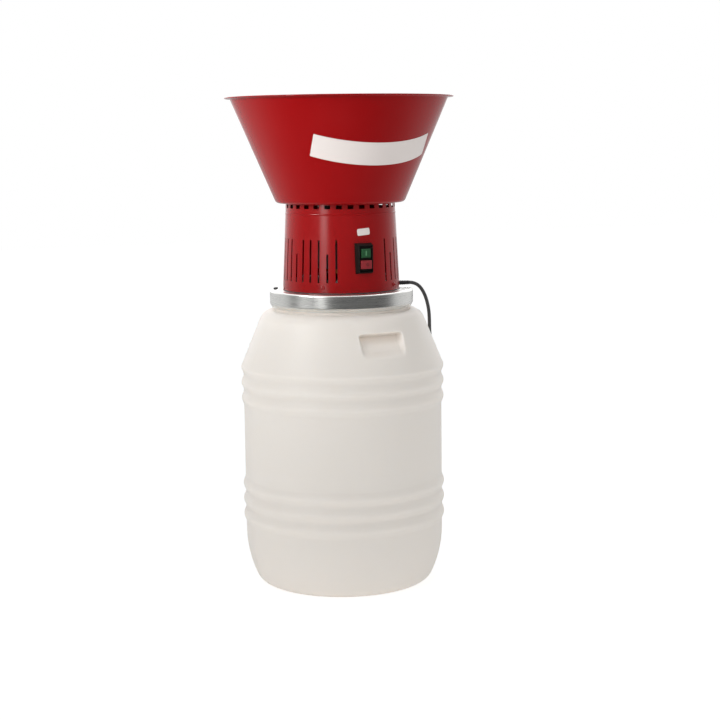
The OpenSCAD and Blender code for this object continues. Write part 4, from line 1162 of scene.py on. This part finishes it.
def ring_bead(name: str, finish: Finish, radius: float, proud: float, bend: float) -> Object:
    """A low round bead that lies on a wall of a given radius, with the wall's outside along +X.

    Args:
        name: Its name.
        finish: Its finish.
        radius: The ring's radius.
        proud: How far it stands out.
        bend: The wall's radius.
    Returns:
        The bead.
    """
    around, across = 40, 8
    slope, squat = 1.5, 0.8
    points = []
    for a in 2 * np.pi * np.arange(around) / around:
        for b in 2 * np.pi * np.arange(across) / across:
            r = radius + slope * proud * math.cos(b)
            y, z = r * math.cos(a), r * math.sin(a) * squat
            points.append((math.sqrt(bend * bend - y * y) - bend + proud * math.sin(b), y, z))
    faces = [(a, d, c, b) for a, b, c, d in grid_faces(around, across, closed=True)]
    return mesh_object(name, points, faces, finish, 70.0)


# Hopper


@dataclass
class HopperCone:
    """The red cone with its flat floor and rolled rim, its screws, seam and blank strip."""

    shop: Shop
    floor_z: float = 676.5
    floor_r: float = 113.0
    mouth_r: float = 191.0
    rim_r: float = 200.0
    top_z: float = 860.0
    sheet: float = 1.2
    corner: float = 8.0
    bead: float = 1.1
    feed: tuple[float, float, float] = (0.0, 62.0, 16.25)
    pivot_r: float = 4.05
    screw_reach: float = 89.4
    screw_r: float = 2.5
    screw_play: float = 0.2
    strip_w: float = 235.0
    strip_h: float = 41.0
    strip_reach: float = 149.4
    strip_turn: float = 4.0

    def rim_z(self) -> float:
        """The height of the rim's underside."""
        return self.top_z - self.bead - self.sheet / 2

    def tilt(self) -> float:
        """The cone's tilt from upright, in degrees."""
        return math.degrees(math.atan((self.mouth_r - self.floor_r) / (self.rim_z() - self.floor_z)))

    def build(self) -> None:
        """Builds the hopper's pieces."""
        tilt = self.tilt()
        bend = (self.floor_r - self.corner * math.tan(math.radians(90 - tilt) / 2), self.floor_z + self.corner)
        inner = self.mouth_r - self.sheet / math.cos(math.radians(tilt))
        rim = self.rim_z()
        bead = (self.rim_r - self.bead, rim + self.sheet / 2)
        open_turn = math.degrees(math.asin(self.sheet / 2 / self.bead))
        line: Outline = [(0.0, self.floor_z)]
        line += arc(bend, self.corner, -90, -tilt, 14)
        line += [(self.mouth_r - 1.7, rim - 3.6), (self.mouth_r - 0.8, rim - 1.6), (self.mouth_r + 0.5, rim - 0.5),
                 (self.mouth_r + 2.6, rim)]
        line += arc(bead, self.bead, 180 + open_turn, 540 - open_turn, 24)
        line += [(inner + 3.0, rim + self.sheet), (inner + 1.4, rim + self.sheet - 0.5), (inner + 0.2, rim - 1.0)]
        line += arc(bend, self.corner - self.sheet, -tilt, -90, 14)
        line += [(0.0, self.floor_z + self.sheet)]
        hopper = self.shop.lathe.revolve("hopper_cone", line, RED_PAINT, 256, closed=False, angle=50.0)
        spots = [polar(45 + 90 * k, self.screw_reach, self.floor_z + self.sheet) for k in range(4)]
        holes = [self.feed, (0.0, 0.0, self.pivot_r)]
        holes += [(x, y, self.screw_r + self.screw_play) for x, y, _ in spots]
        cut_holes(hopper, holes, self.floor_z - 3, self.floor_z + self.sheet + 3)
        place(hopper, "head", RED_PAINT, "hopper")
        screw = pan_screw(self.shop, head_r=4.0, head_t=2.4, shank_r=self.screw_r, length=6.6)
        screw.data.transform(Matrix.Rotation(math.radians(-90), 4, "Y"))
        screws = self.shop.jig.spread("hopper_bolts", screw, spots, ZINC)
        place(screws, "head", ZINC, "hopper_screws")
        dress("hopper_nuts", ZINC)
        self.build_strip()
        self.build_seam()

    def on_cone(self, turn: float, slant: float, over: float) -> np.ndarray:
        """A point by its angle, its distance from the apex along the wall, and its height over the wall."""
        tilt = math.radians(self.tilt())
        r = slant * math.sin(tilt)
        z = self.floor_z + (r - self.floor_r) / math.tan(tilt)
        return polar(turn, r + over * math.cos(tilt), z - over * math.sin(tilt))

    def build_strip(self) -> None:
        """The blank strip on the cone's front, straight as cut, so that its ends rise."""
        sine = math.sin(math.radians(self.tilt()))
        middle = self.strip_reach / sine

        def wrap(u: float, v: float, over: float) -> np.ndarray:
            """A place on the strip."""
            slant = math.hypot(u, middle + v)
            turn = self.strip_turn + math.degrees(math.atan2(u, middle + v)) / sine
            return self.on_cone(turn, slant, over)

        strip = sheet_patch("blank_strip", STICKER, wrap, width=self.strip_w, height=self.strip_h, corner=1.2,
                            lift=0.04, thick=0.3, steps=(56, 9))
        place(strip, "head", STICKER)

    def build_seam(self) -> None:
        """The lapped seam up the cone's back."""
        sine = math.sin(math.radians(self.tilt()))
        low, high = (self.floor_r + 5) / sine, (self.mouth_r - 2.5) / sine

        def wrap(u: float, v: float, over: float) -> np.ndarray:
            """A place on the seam."""
            slant = (low + high) / 2 + v
            return self.on_cone(180 + math.degrees(u / (slant * sine)), slant, over)

        seam = sheet_patch("cone_seam", RED_PAINT, wrap, width=7.0, height=high - low, corner=1.0, lift=-0.1,
                           thick=0.6, steps=(4, 40))
        place(soften(seam, 0.25, 2), "head", RED_PAINT)


@dataclass
class FeedGate:
    """The swinging shutter in the hopper's floor, with its knob and pivot."""

    shop: Shop
    swing_turn: float = 225.0
    knob_reach: float = 33.0
    seat_z: float = 679.5
    knob_h: float = 18.0
    knob_r: float = 8.0

    def build(self) -> None:
        """Builds the gate's pieces."""
        place_softened("feed_gate", SHEET_STEEL, "gate_plate", "gate", 0.35, 2)
        waist, foot_h, top_corner = self.knob_r * 0.7, 2.4, 2.2
        flare = self.knob_r - waist
        line: Outline = [(0.0, 0.0), (self.knob_r, 0.0), (self.knob_r, 1.6), (self.knob_r - 0.5, foot_h)]
        line += [(waist + flare * (0.5 + 0.5 * math.cos(math.pi * t)) * 0.9, foot_h + t * 5.0)
                 for t in np.linspace(0.15, 1, 6)]
        line += [(waist + flare * (0.5 - 0.5 * math.cos(math.pi * t)), 9.0 + t * 5.4)
                 for t in np.linspace(0, 1, 8)]
        line += arc((self.knob_r - top_corner, self.knob_h - top_corner), top_corner, 0, 90, 6)
        line += [(0.0, self.knob_h)]
        knob = self.shop.lathe.revolve("gate_grip", line, BLACK_PLASTIC, 48, closed=False, angle=50.0)
        spot = polar(self.swing_turn, self.knob_reach, self.seat_z) * MM
        knob.data.transform(Matrix.Translation(Vector(spot)))
        place(knob, "gate", BLACK_PLASTIC, "gate_knob")
        place_softened("gate_pivot", ZINC, "gate_bolt", "head", 0.6)
        dress("gate_nut", ZINC)
        # The chute's sheet is darkened as painted shade inside the casing.
        dress("feed_chute", SHADE_DARK_SHEET)


# Switch


@dataclass
class PushSwitch:
    """The black push switch with a green start button and a red stop button."""

    start_z: float = 593.25
    stop_z: float = 573.75
    start_front: float = 112.76
    stop_front: float = 114.56
    spring_back: float = 76.5
    spring_keep: float = 0.82
    mark_t: float = 0.25
    mark_sunk: float = 0.05
    bar_w: float = 1.8
    bar_h: float = 8.4
    ring_in: float = 1.3
    ring_out: float = 2.5
    ring_aside: float = 1.8

    def build(self) -> None:
        """Builds the switch's pieces."""
        place_softened("switch_frame", BLACK_PLASTIC, "switch_bezel", "head", 0.6)
        place_softened("switch_body", BLACK_PLASTIC, "switch_works", "head", 0.4, 2)
        for key, finish in (("start", GREEN_PLASTIC), ("stop", RED_PLASTIC)):
            place_softened(f"{key}_button", finish, f"{key}_cap", f"{key}_button", 0.9, 4)
        for key in ("start", "stop"):
            coil = place(copy_of(f"{key}_spring", ZINC, f"{key}_coil"), "head", ZINC, f"{key}_spring")
            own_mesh(coil)
        self.build_marks()

    def build_marks(self) -> None:
        """The bar on the start button and the ring on the stop button."""
        def on_start(u: float, v: float, over: float) -> np.ndarray:
            """A place on the start button's front."""
            return np.array([u, -self.start_front - over, self.start_z + v])

        bar = sheet_patch("start_bar", GREEN_MARK, on_start, width=self.bar_w, height=self.bar_h, corner=0.4,
                          lift=-self.mark_sunk, thick=self.mark_t, steps=(4, 6))
        place(bar, "start_button", GREEN_MARK)
        steps, centre = 40, (self.ring_aside, self.stop_z)
        loops = ((self.ring_in, -self.mark_sunk), (self.ring_out, -self.mark_sunk),
                 (self.ring_out, self.mark_t), (self.ring_in, self.mark_t))
        points = [(x, -self.stop_front - over, z) for r, over in loops for x, z in circle(r, steps, centre)]
        ring = mesh_object("stop_ring", points, grid_faces(len(loops), steps, closed=True), RED_MARK)
        edit(ring, face_outwards)
        place(ring, "stop_button", RED_MARK)


# Mains lead


@dataclass
class MainsLead:
    """The mains lead: ribbed boot, free stretch, coil behind the barrel, tie and plug."""

    shop: Shop
    cord_d: float = 6.25
    exit_turn: float = 82.0
    boot_end: float = 125.669
    boot_z: float = 530.25
    wall_r: float = 103.169
    coil_turn: float = 156.6
    coil_reach: float = 224.6
    coil_r: float = 44.5
    pitch: float = 7.0
    turns: float = 4.0
    turns_in: float = 1.85
    climb: float = 0.5
    entry: float = 13.0
    leave: float = 67.5
    low_z: float = 4.6
    tail: float = 34.0
    boot_r: float = 4.2
    boot_nut_r: float = 4.8
    boot_l: float = 20.0
    boot_ribs: int = 6
    boot_cut: float = 0.45
    route: tuple[tuple[float, float, float], ...] = (
        (82, 131, 529.75), (82.05, 136.4, 528.2), (82.15, 141.5, 525.5), (82.3, 146.2, 521.5), (82.5, 150.3, 516.3),
        (82.7, 154, 510.1), (82.95, 157.3, 502.9), (83.3, 160.3, 494.5), (83.75, 162.9, 485), (84.35, 165, 475),
        (85.1, 166.5, 464), (86.1, 167.9, 453), (87.5, 169.8, 442.3), (89.2, 172.7, 431.5), (91.1, 176.6, 420),
        (93.1, 181, 408), (95.3, 185, 395.5), (97.7, 187.8, 381), (100.2, 189.4, 365), (102.8, 190, 345),
        (105.2, 190, 320), (107.6, 190, 290), (110, 190, 260), (112.4, 190, 230), (114.8, 190, 200), (117, 190, 170),
        (119, 190, 140), (120.7, 190, 110), (122.2, 190, 80), (123.8, 190.5, 52), (125.8, 192, 30), (128.6, 196, 14),
        (132, 203, 6), (136, 213, 4.2), (140, 223, 4.2), (144, 236, 4.5))

    def coil_centre(self) -> np.ndarray:
        """The coil's middle, on the floor."""
        return polar(self.coil_turn, self.coil_reach, 0.0)

    def coil_point(self, t: float) -> np.ndarray:
        """A point of the coil after so many turns: in below, up in half a turn, and out above."""
        least = self.coil_r - self.pitch * self.turns_in
        share = (t - self.turns_in) / self.climb
        if share < 0:
            r = self.coil_r - self.pitch * t
        elif share < 1:
            r = least - self.pitch * (share - share * share) / 2
        else:
            r = least + self.pitch * (t - self.turns_in - self.climb)
        a = math.radians(self.entry + 360 * t)
        z = self.low_z + self.pitch * min(1.0, max(0.0, share))
        return self.coil_centre() + np.array([r * math.cos(a), r * math.sin(a), z])

    def way(self, turn: float) -> np.ndarray:
        """The level direction along the coil at an angle."""
        a = math.radians(turn)
        return np.array([-math.sin(a), math.cos(a), 0.0])

    def path(self) -> np.ndarray:
        """The cord's middle line from the boot to the plug."""
        total = self.turns + (self.leave - self.entry) / 360
        steps = 200
        wound = [self.coil_point(total * i / steps) for i in range(steps + 1)]
        first = wound[0] - self.cord_d * self.way(self.entry)
        points = [polar(self.exit_turn, self.boot_end, self.boot_z)] + [polar(*p) for p in self.route] + [first]
        line: list[np.ndarray] = []
        last = len(points) - 1
        for i in range(last):
            a, b, c, d = (points[max(i - 1, 0)], points[i], points[i + 1], points[min(i + 2, last)])
            for t in np.arange(4) / 4:
                line.append((2 * b + (c - a) * t + (2 * a - 5 * b + 4 * c - d) * t * t
                             + (3 * b - a - 3 * c + d) * t ** 3) / 2)
        end = wound[-1] + self.tail * self.way(self.leave)
        return np.array(line + [first] + wound + [wound[-1] + 0.5 * self.tail * self.way(self.leave), end])

    def build(self) -> None:
        """Builds the lead: its boot, plug, tie and cord."""
        boot = self.build_boot()
        plug = self.build_plug()
        tie = self.build_tie()
        path = self.path()
        cord = tube("mains_cord", path, self.cord_d / 2, 16, CORD_RUBBER)
        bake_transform(cord)
        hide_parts("power_cord", "cord_coil")
        dress("inner_lead", CORD_RUBBER)

    def build_boot(self) -> Object:
        """The tapered boot with its ribs, in the casing's wall."""
        base, end, nut, cut = self.boot_r, self.cord_d / 2 + 0.4, self.boot_nut_r, self.boot_cut
        nut_top = 2.5
        tip = nut_top + self.boot_l
        line: Outline = [(0.0, -7.7), (nut, -7.7), (nut, -3.9), (base, -3.7), (base, 0.6), (nut, 0.7), (nut, 2.3),
                         (nut - 0.3, nut_top)]
        for i in range(self.boot_ribs):
            for share, depth in ((0.05, 0.0), (0.5, 0.0), (0.62, cut), (0.9, cut)):
                t = (i + share) / self.boot_ribs
                line.append((base + (end - base) * t - depth, nut_top + self.boot_l * t))
        line += [(end, nut_top + self.boot_l * 0.985), (end - 0.5, tip), (self.cord_d / 2 - 0.6, tip), (0.0, tip)]
        boot = self.shop.lathe.revolve("cord_boot", line, RUBBER, 40, closed=False)
        boot.data.transform(Matrix.Rotation(math.radians(90), 4, "Y"))
        boot.data.transform(Matrix.Rotation(math.radians(self.exit_turn - 90), 4, "Z"))
        boot.data.transform(Matrix.Translation(Vector(polar(self.exit_turn, self.wall_r, self.boot_z) * MM)))
        return place(boot, "head", RUBBER, "strain_relief")

    def build_plug(self) -> Object:
        """The plug with soft edges; its pins stay CAD nodes."""
        plug = place_softened("plug_body", RUBBER, "mains_plug", "barrel", 2.2, 4)
        dress("plug_pins", BRASS)
        return plug

    def build_tie(self) -> Object:
        """The strap round the coil, as a band with round corners."""
        return place_softened("cord_tie", RUBBER, "coil_tie", "barrel", 0.3, 2)


def tube(name: str, path: np.ndarray, radius: float, sides: int, finish: Finish) -> Object:
    """A closed round tube along a path.

    Args:
        name: Its name.
        path: Its middle line.
        radius: Its radius.
        sides: Its sides.
        finish: Its finish.
    Returns:
        The tube.
    """
    ahead = np.gradient(path, axis=0)
    ahead /= np.linalg.norm(ahead, axis=1)[:, None]
    side = np.array([0.0, 0.0, 1.0])
    points = []
    for spot, way in zip(path, ahead):
        side = side - (side @ way) * way
        side /= np.linalg.norm(side)
        other = np.cross(way, side)
        points += [spot + radius * (math.cos(a) * side + math.sin(a) * other)
                   for a in 2 * np.pi * np.arange(sides) / sides]
    faces = grid_faces(len(path), sides) + end_faces(len(path), sides)
    return mesh_object(name, points, faces, finish, 50.0)


# Chamber and motor


@dataclass
class Inside:
    """What the casing and the barrel hide at rest: the motor, the chamber and the beater, as CAD nodes."""

    # The aluminium and the copper here are darkened as painted shade inside the casing.
    finishes: dict[str, Finish] = field(default_factory=lambda: {
        "mounting_ring": SHEET_STEEL, "motor_base": ALUMINIUM_PAINTED_SHADE, "upper_bracket": ALUMINIUM_PAINTED_SHADE, "stator_core": CORE_STEEL,
        "field_coils": COPPER_PAINTED_SHADE, "motor_long_bolts": ZINC, "armature_core": CORE_STEEL, "armature_windings": COPPER_PAINTED_SHADE,
        "commutator": COPPER_PAINTED_SHADE, "motor_shaft": TURNED_STEEL, "cooling_fan": BLACK_PLASTIC,
        "lower_bearing_outer": TURNED_STEEL, "lower_bearing_inner": TURNED_STEEL, "upper_bearing_outer": TURNED_STEEL,
        "upper_bearing_inner": TURNED_STEEL, "bearing_balls": TURNED_STEEL, "brush_holders": BRASS,
        "carbon_brushes": CARBON, "brush_springs": ZINC, "chamber_plate": SHEET_STEEL, "motor_bolts": ZINC,
        "motor_nuts": ZINC, "shaft_seal": RUBBER, "beater": TURNED_STEEL, "beater_spacer": TURNED_STEEL,
        "beater_washer": ZINC, "beater_nut": ZINC, "sieve": SHEET_STEEL, "chamber_floor": SHEET_STEEL,
        "sieve_studs": ZINC, "wing_nuts": ZINC, "suppression_capacitor": CASE_GREY})

    def build(self) -> None:
        """Dresses each node."""
        for node, finish in self.finishes.items():
            dress(node, finish)


# Studio


@dataclass(frozen=True)
class SoftBox:
    """A flat soft lamp that looks at the mill's axis: where it stands, its width and height, and its power.

    Args:
        name: The lamp's name.
        turn: Its angle from the front.
        reach: Its distance from the axis, in metres.
        height: Its height, in metres.
        size: Its width and height, in metres.
        power: Its power, in watts.
        aim: The height on the axis that it looks at, in metres.
        spread: How wide it throws its light, in degrees.
    """

    name: str
    turn: float
    reach: float
    height: float
    size: tuple[float, float]
    power: float
    aim: float = 0.5
    spread: float = 180.0


@dataclass
class Studio:
    """The camera, the lamps, the pale floor and the white surroundings.

    Args:
        turn: The camera's angle from the front.
        distance: Its distance from the axis, in metres.
        height: Its height, in metres.
        pitch: How far it looks down, in degrees.
        roll: How far it leans, in degrees.
        aside: How far the axis stands beside the picture's middle, in pixels.
        focal_px: Its focal length in pixels.
        frame_px: The picture's width in pixels.
        mirror_front: What gloss sees on the camera's side.
        mirror_back: What it sees behind the mill, beyond that.
        mirror_edge: What it sees right behind the mill, above the floor, beyond that.
        mirror_top: What it sees overhead, beyond that.
        back_range: Depths between which the light behind grows.
        back_power: How late it grows.
        edge_range: Depths between which the light right behind grows.
        edge_rise: Heights between which it grows.
        top_rise: Heights between which the light overhead grows.
        ambient: The light that falls from all sides.
        floor_half: Half the floor's width, in millimetres.
        floor_grey: The floor's own grey.
        floor_white: The light that whitens the floor for the camera.
        floor_lit: The share of that light in what the camera sees; the rest keeps the shadow.
        floor_range: Depths in metres between which the floor grows bright to gloss.
        floor_mirror: What gloss sees of the floor behind the mill.
        floor_least: What it sees of the floor in front.
        floor_glow: The light that the floor throws on the mill.
        glow_share: The share of the floor that throws it.
        lamps: The soft boxes.
    """

    turn: float = -22.5
    distance: float = 2.8214
    height: float = 0.7913
    pitch: float = 7.996
    roll: float = -0.672
    aside: float = 17.83
    focal_px: float = 1593.9
    frame_px: float = 720.0
    mirror_front: float = 0.227
    mirror_back: float = 0.759
    mirror_edge: float = 0.85
    mirror_top: float = 1.2
    back_range: tuple[float, float] = (-0.75, 1.0)
    back_power: float = 1.5
    edge_range: tuple[float, float] = (0.6, 0.95)
    edge_rise: tuple[float, float] = (0.02, 0.1)
    top_rise: tuple[float, float] = (0.5, 0.85)
    ambient: float = 0.74
    floor_half: float = 9000.0
    floor_grey: float = 0.86
    floor_white: float = 1.42
    floor_lit: float = 0.5
    floor_range: tuple[float, float] = (-1.0, 0.7)
    floor_mirror: float = 0.59
    floor_least: float = 0.03
    floor_glow: float = 0.399
    glow_share: float = 0.1
    lamps: tuple[SoftBox, ...] = (
        SoftBox("key", -54.0, 2.3, 0.75, (0.5, 1.5), power=1.4, aim=0.6),
        SoftBox("near", -56.5, 2.3, 0.78, (0.55, 0.4), power=3.6, aim=0.65),
        SoftBox("upper", -76.0, 2.0, 1.4, (0.9, 0.5), power=1.6, aim=0.86, spread=30.0),
        SoftBox("low_left", -85.0, 1.5, 0.22, (0.9, 0.3), power=0.078, aim=0.2, spread=40.0))

    def build(self) -> None:
        """Sets up the view and the light."""
        bpy.context.scene.view_settings.view_transform = "Standard"
        self.build_camera()
        self.build_floor()
        self.build_world()
        self.build_lamps()

    def away(self) -> Vector:
        """The level direction in which the camera looks at the axis."""
        a = math.radians(self.turn)
        return Vector((-math.sin(a), math.cos(a), 0.0))

    def build_camera(self) -> None:
        """The camera at the photo's place."""
        away = self.away()
        swing = Matrix.Rotation(-math.atan2(self.aside, self.focal_px), 3, "Z")
        level = swing @ away
        right = level.cross(Vector((0, 0, 1)))
        dip = math.radians(self.pitch)
        ahead = level * math.cos(dip) - Vector((0, 0, math.sin(dip)))
        up = level * math.sin(dip) + Vector((0, 0, math.cos(dip)))
        spin = math.radians(self.roll)
        right, up = (right * math.cos(spin) + up * math.sin(spin),
                     up * math.cos(spin) - right * math.sin(spin))
        data = bpy.data.cameras.new("camera")
        data.sensor_width = 36.0
        data.lens = self.focal_px * data.sensor_width / self.frame_px
        camera = add_object("camera", data)
        axes = Matrix((right, up, -ahead)).transposed().to_4x4()
        axes.translation = -away * self.distance + Vector((0, 0, self.height))
        camera.matrix_world = axes
        bpy.context.scene.camera = camera

    def rays(self, graph: Graph) -> tuple[Wire, Wire]:
        """Whether the camera looks, and whether gloss or glass does."""
        paths = graph.raw("ShaderNodeLightPath").outputs
        gloss = Wire(graph, paths["Is Glossy Ray"])
        gloss = gloss.maths("MAXIMUM", gloss, Wire(graph, paths["Is Transmission Ray"]))
        seen = Wire(graph, paths["Is Camera Ray"])
        return seen, gloss * (1 - seen)

    def build_floor(self) -> None:
        """A wide pale floor that shows white to the camera and keeps the shadow."""
        half = self.floor_half
        floor = mesh_object("floor", [(-half, -half, 0), (half, -half, 0), (half, half, 0), (-half, half, 0)],
                            [(0, 1, 2, 3)], HDPE)
        made = bpy.data.materials.new("pale_floor")
        graph = Graph.fresh(made)
        seen, gloss = self.rays(graph)
        spot = graph.node("ShaderNodeTexCoord", out="Object")
        depth = graph.along(spot, self.away())
        shown = depth.step(*self.floor_range) * self.floor_mirror + self.floor_least
        plain = (1 - seen) * (1 - gloss)
        matte = graph.node("ShaderNodeBsdfDiffuse", None, {"Color": (*[self.floor_grey] * 3, 1.0)})
        light = seen * self.floor_white + gloss * shown + plain * (self.floor_glow / self.glow_share)
        glow = graph.node("ShaderNodeEmission", None, {"Color": WHITE, "Strength": light})
        factor = seen * self.floor_lit + gloss + plain * self.glow_share
        mixed = graph.node("ShaderNodeMixShader", None, {0: factor, 1: matte, 2: glow})
        graph.raw("ShaderNodeOutputMaterial", None, {"Surface": mixed})
        floor.data.materials.clear()
        floor.data.materials.append(made)

    def build_world(self) -> None:
        """White to the camera; to gloss, white behind the mill and grey on the camera's side."""
        world = bpy.data.worlds.new("studio")
        bpy.context.scene.world = world
        graph = Graph.fresh(world)
        seen, gloss = self.rays(graph)
        way = graph.node("ShaderNodeTexCoord", out="Generated")
        depth = graph.along(way, self.away())
        share = depth.step(*self.back_range) ** self.back_power
        upper = graph.along(way, (0.0, 0.0, 1.0))
        edge = depth.step(*self.edge_range) * upper.step(*self.edge_rise)
        mirrored = share * self.mirror_back + edge * self.mirror_edge
        mirrored = mirrored + upper.step(*self.top_rise) * self.mirror_top + self.mirror_front
        level = seen + (1 - seen) * (gloss * mirrored + (1 - gloss) * self.ambient)
        back = graph.node("ShaderNodeBackground", None, {"Color": WHITE, "Strength": level})
        graph.raw("ShaderNodeOutputWorld", None, {"Surface": back})

    def build_lamps(self) -> None:
        """The soft boxes round the mill."""
        for box in self.lamps:
            data = bpy.data.lights.new(box.name, "AREA")
            data.shape = "RECTANGLE"
            data.size, data.size_y = box.size
            data.energy = box.power
            data.spread = math.radians(box.spread)
            lamp = add_object(box.name, data)
            spot = Vector(polar(box.turn, box.reach, box.height))
            lamp.location = spot
            lamp.rotation_mode = "QUATERNION"
            lamp.rotation_quaternion = (Vector((0, 0, box.aim)) - spot).to_track_quat("-Z", "Y")


def main() -> None:
    """Builds the mill's looks and the studio."""
    logging.basicConfig(level=logging.INFO, format="%(name)s %(message)s")
    Studio().build()
    shop = Shop()
    MainsLead(shop).build()
    FlourBarrel().build()
    PanLid(shop).build()
    MotorCasing(shop).build()
    HopperCone(shop).build()
    FeedGate(shop).build()
    PushSwitch().build()
    Inside().build()


if __name__ == "__main__":
    main()
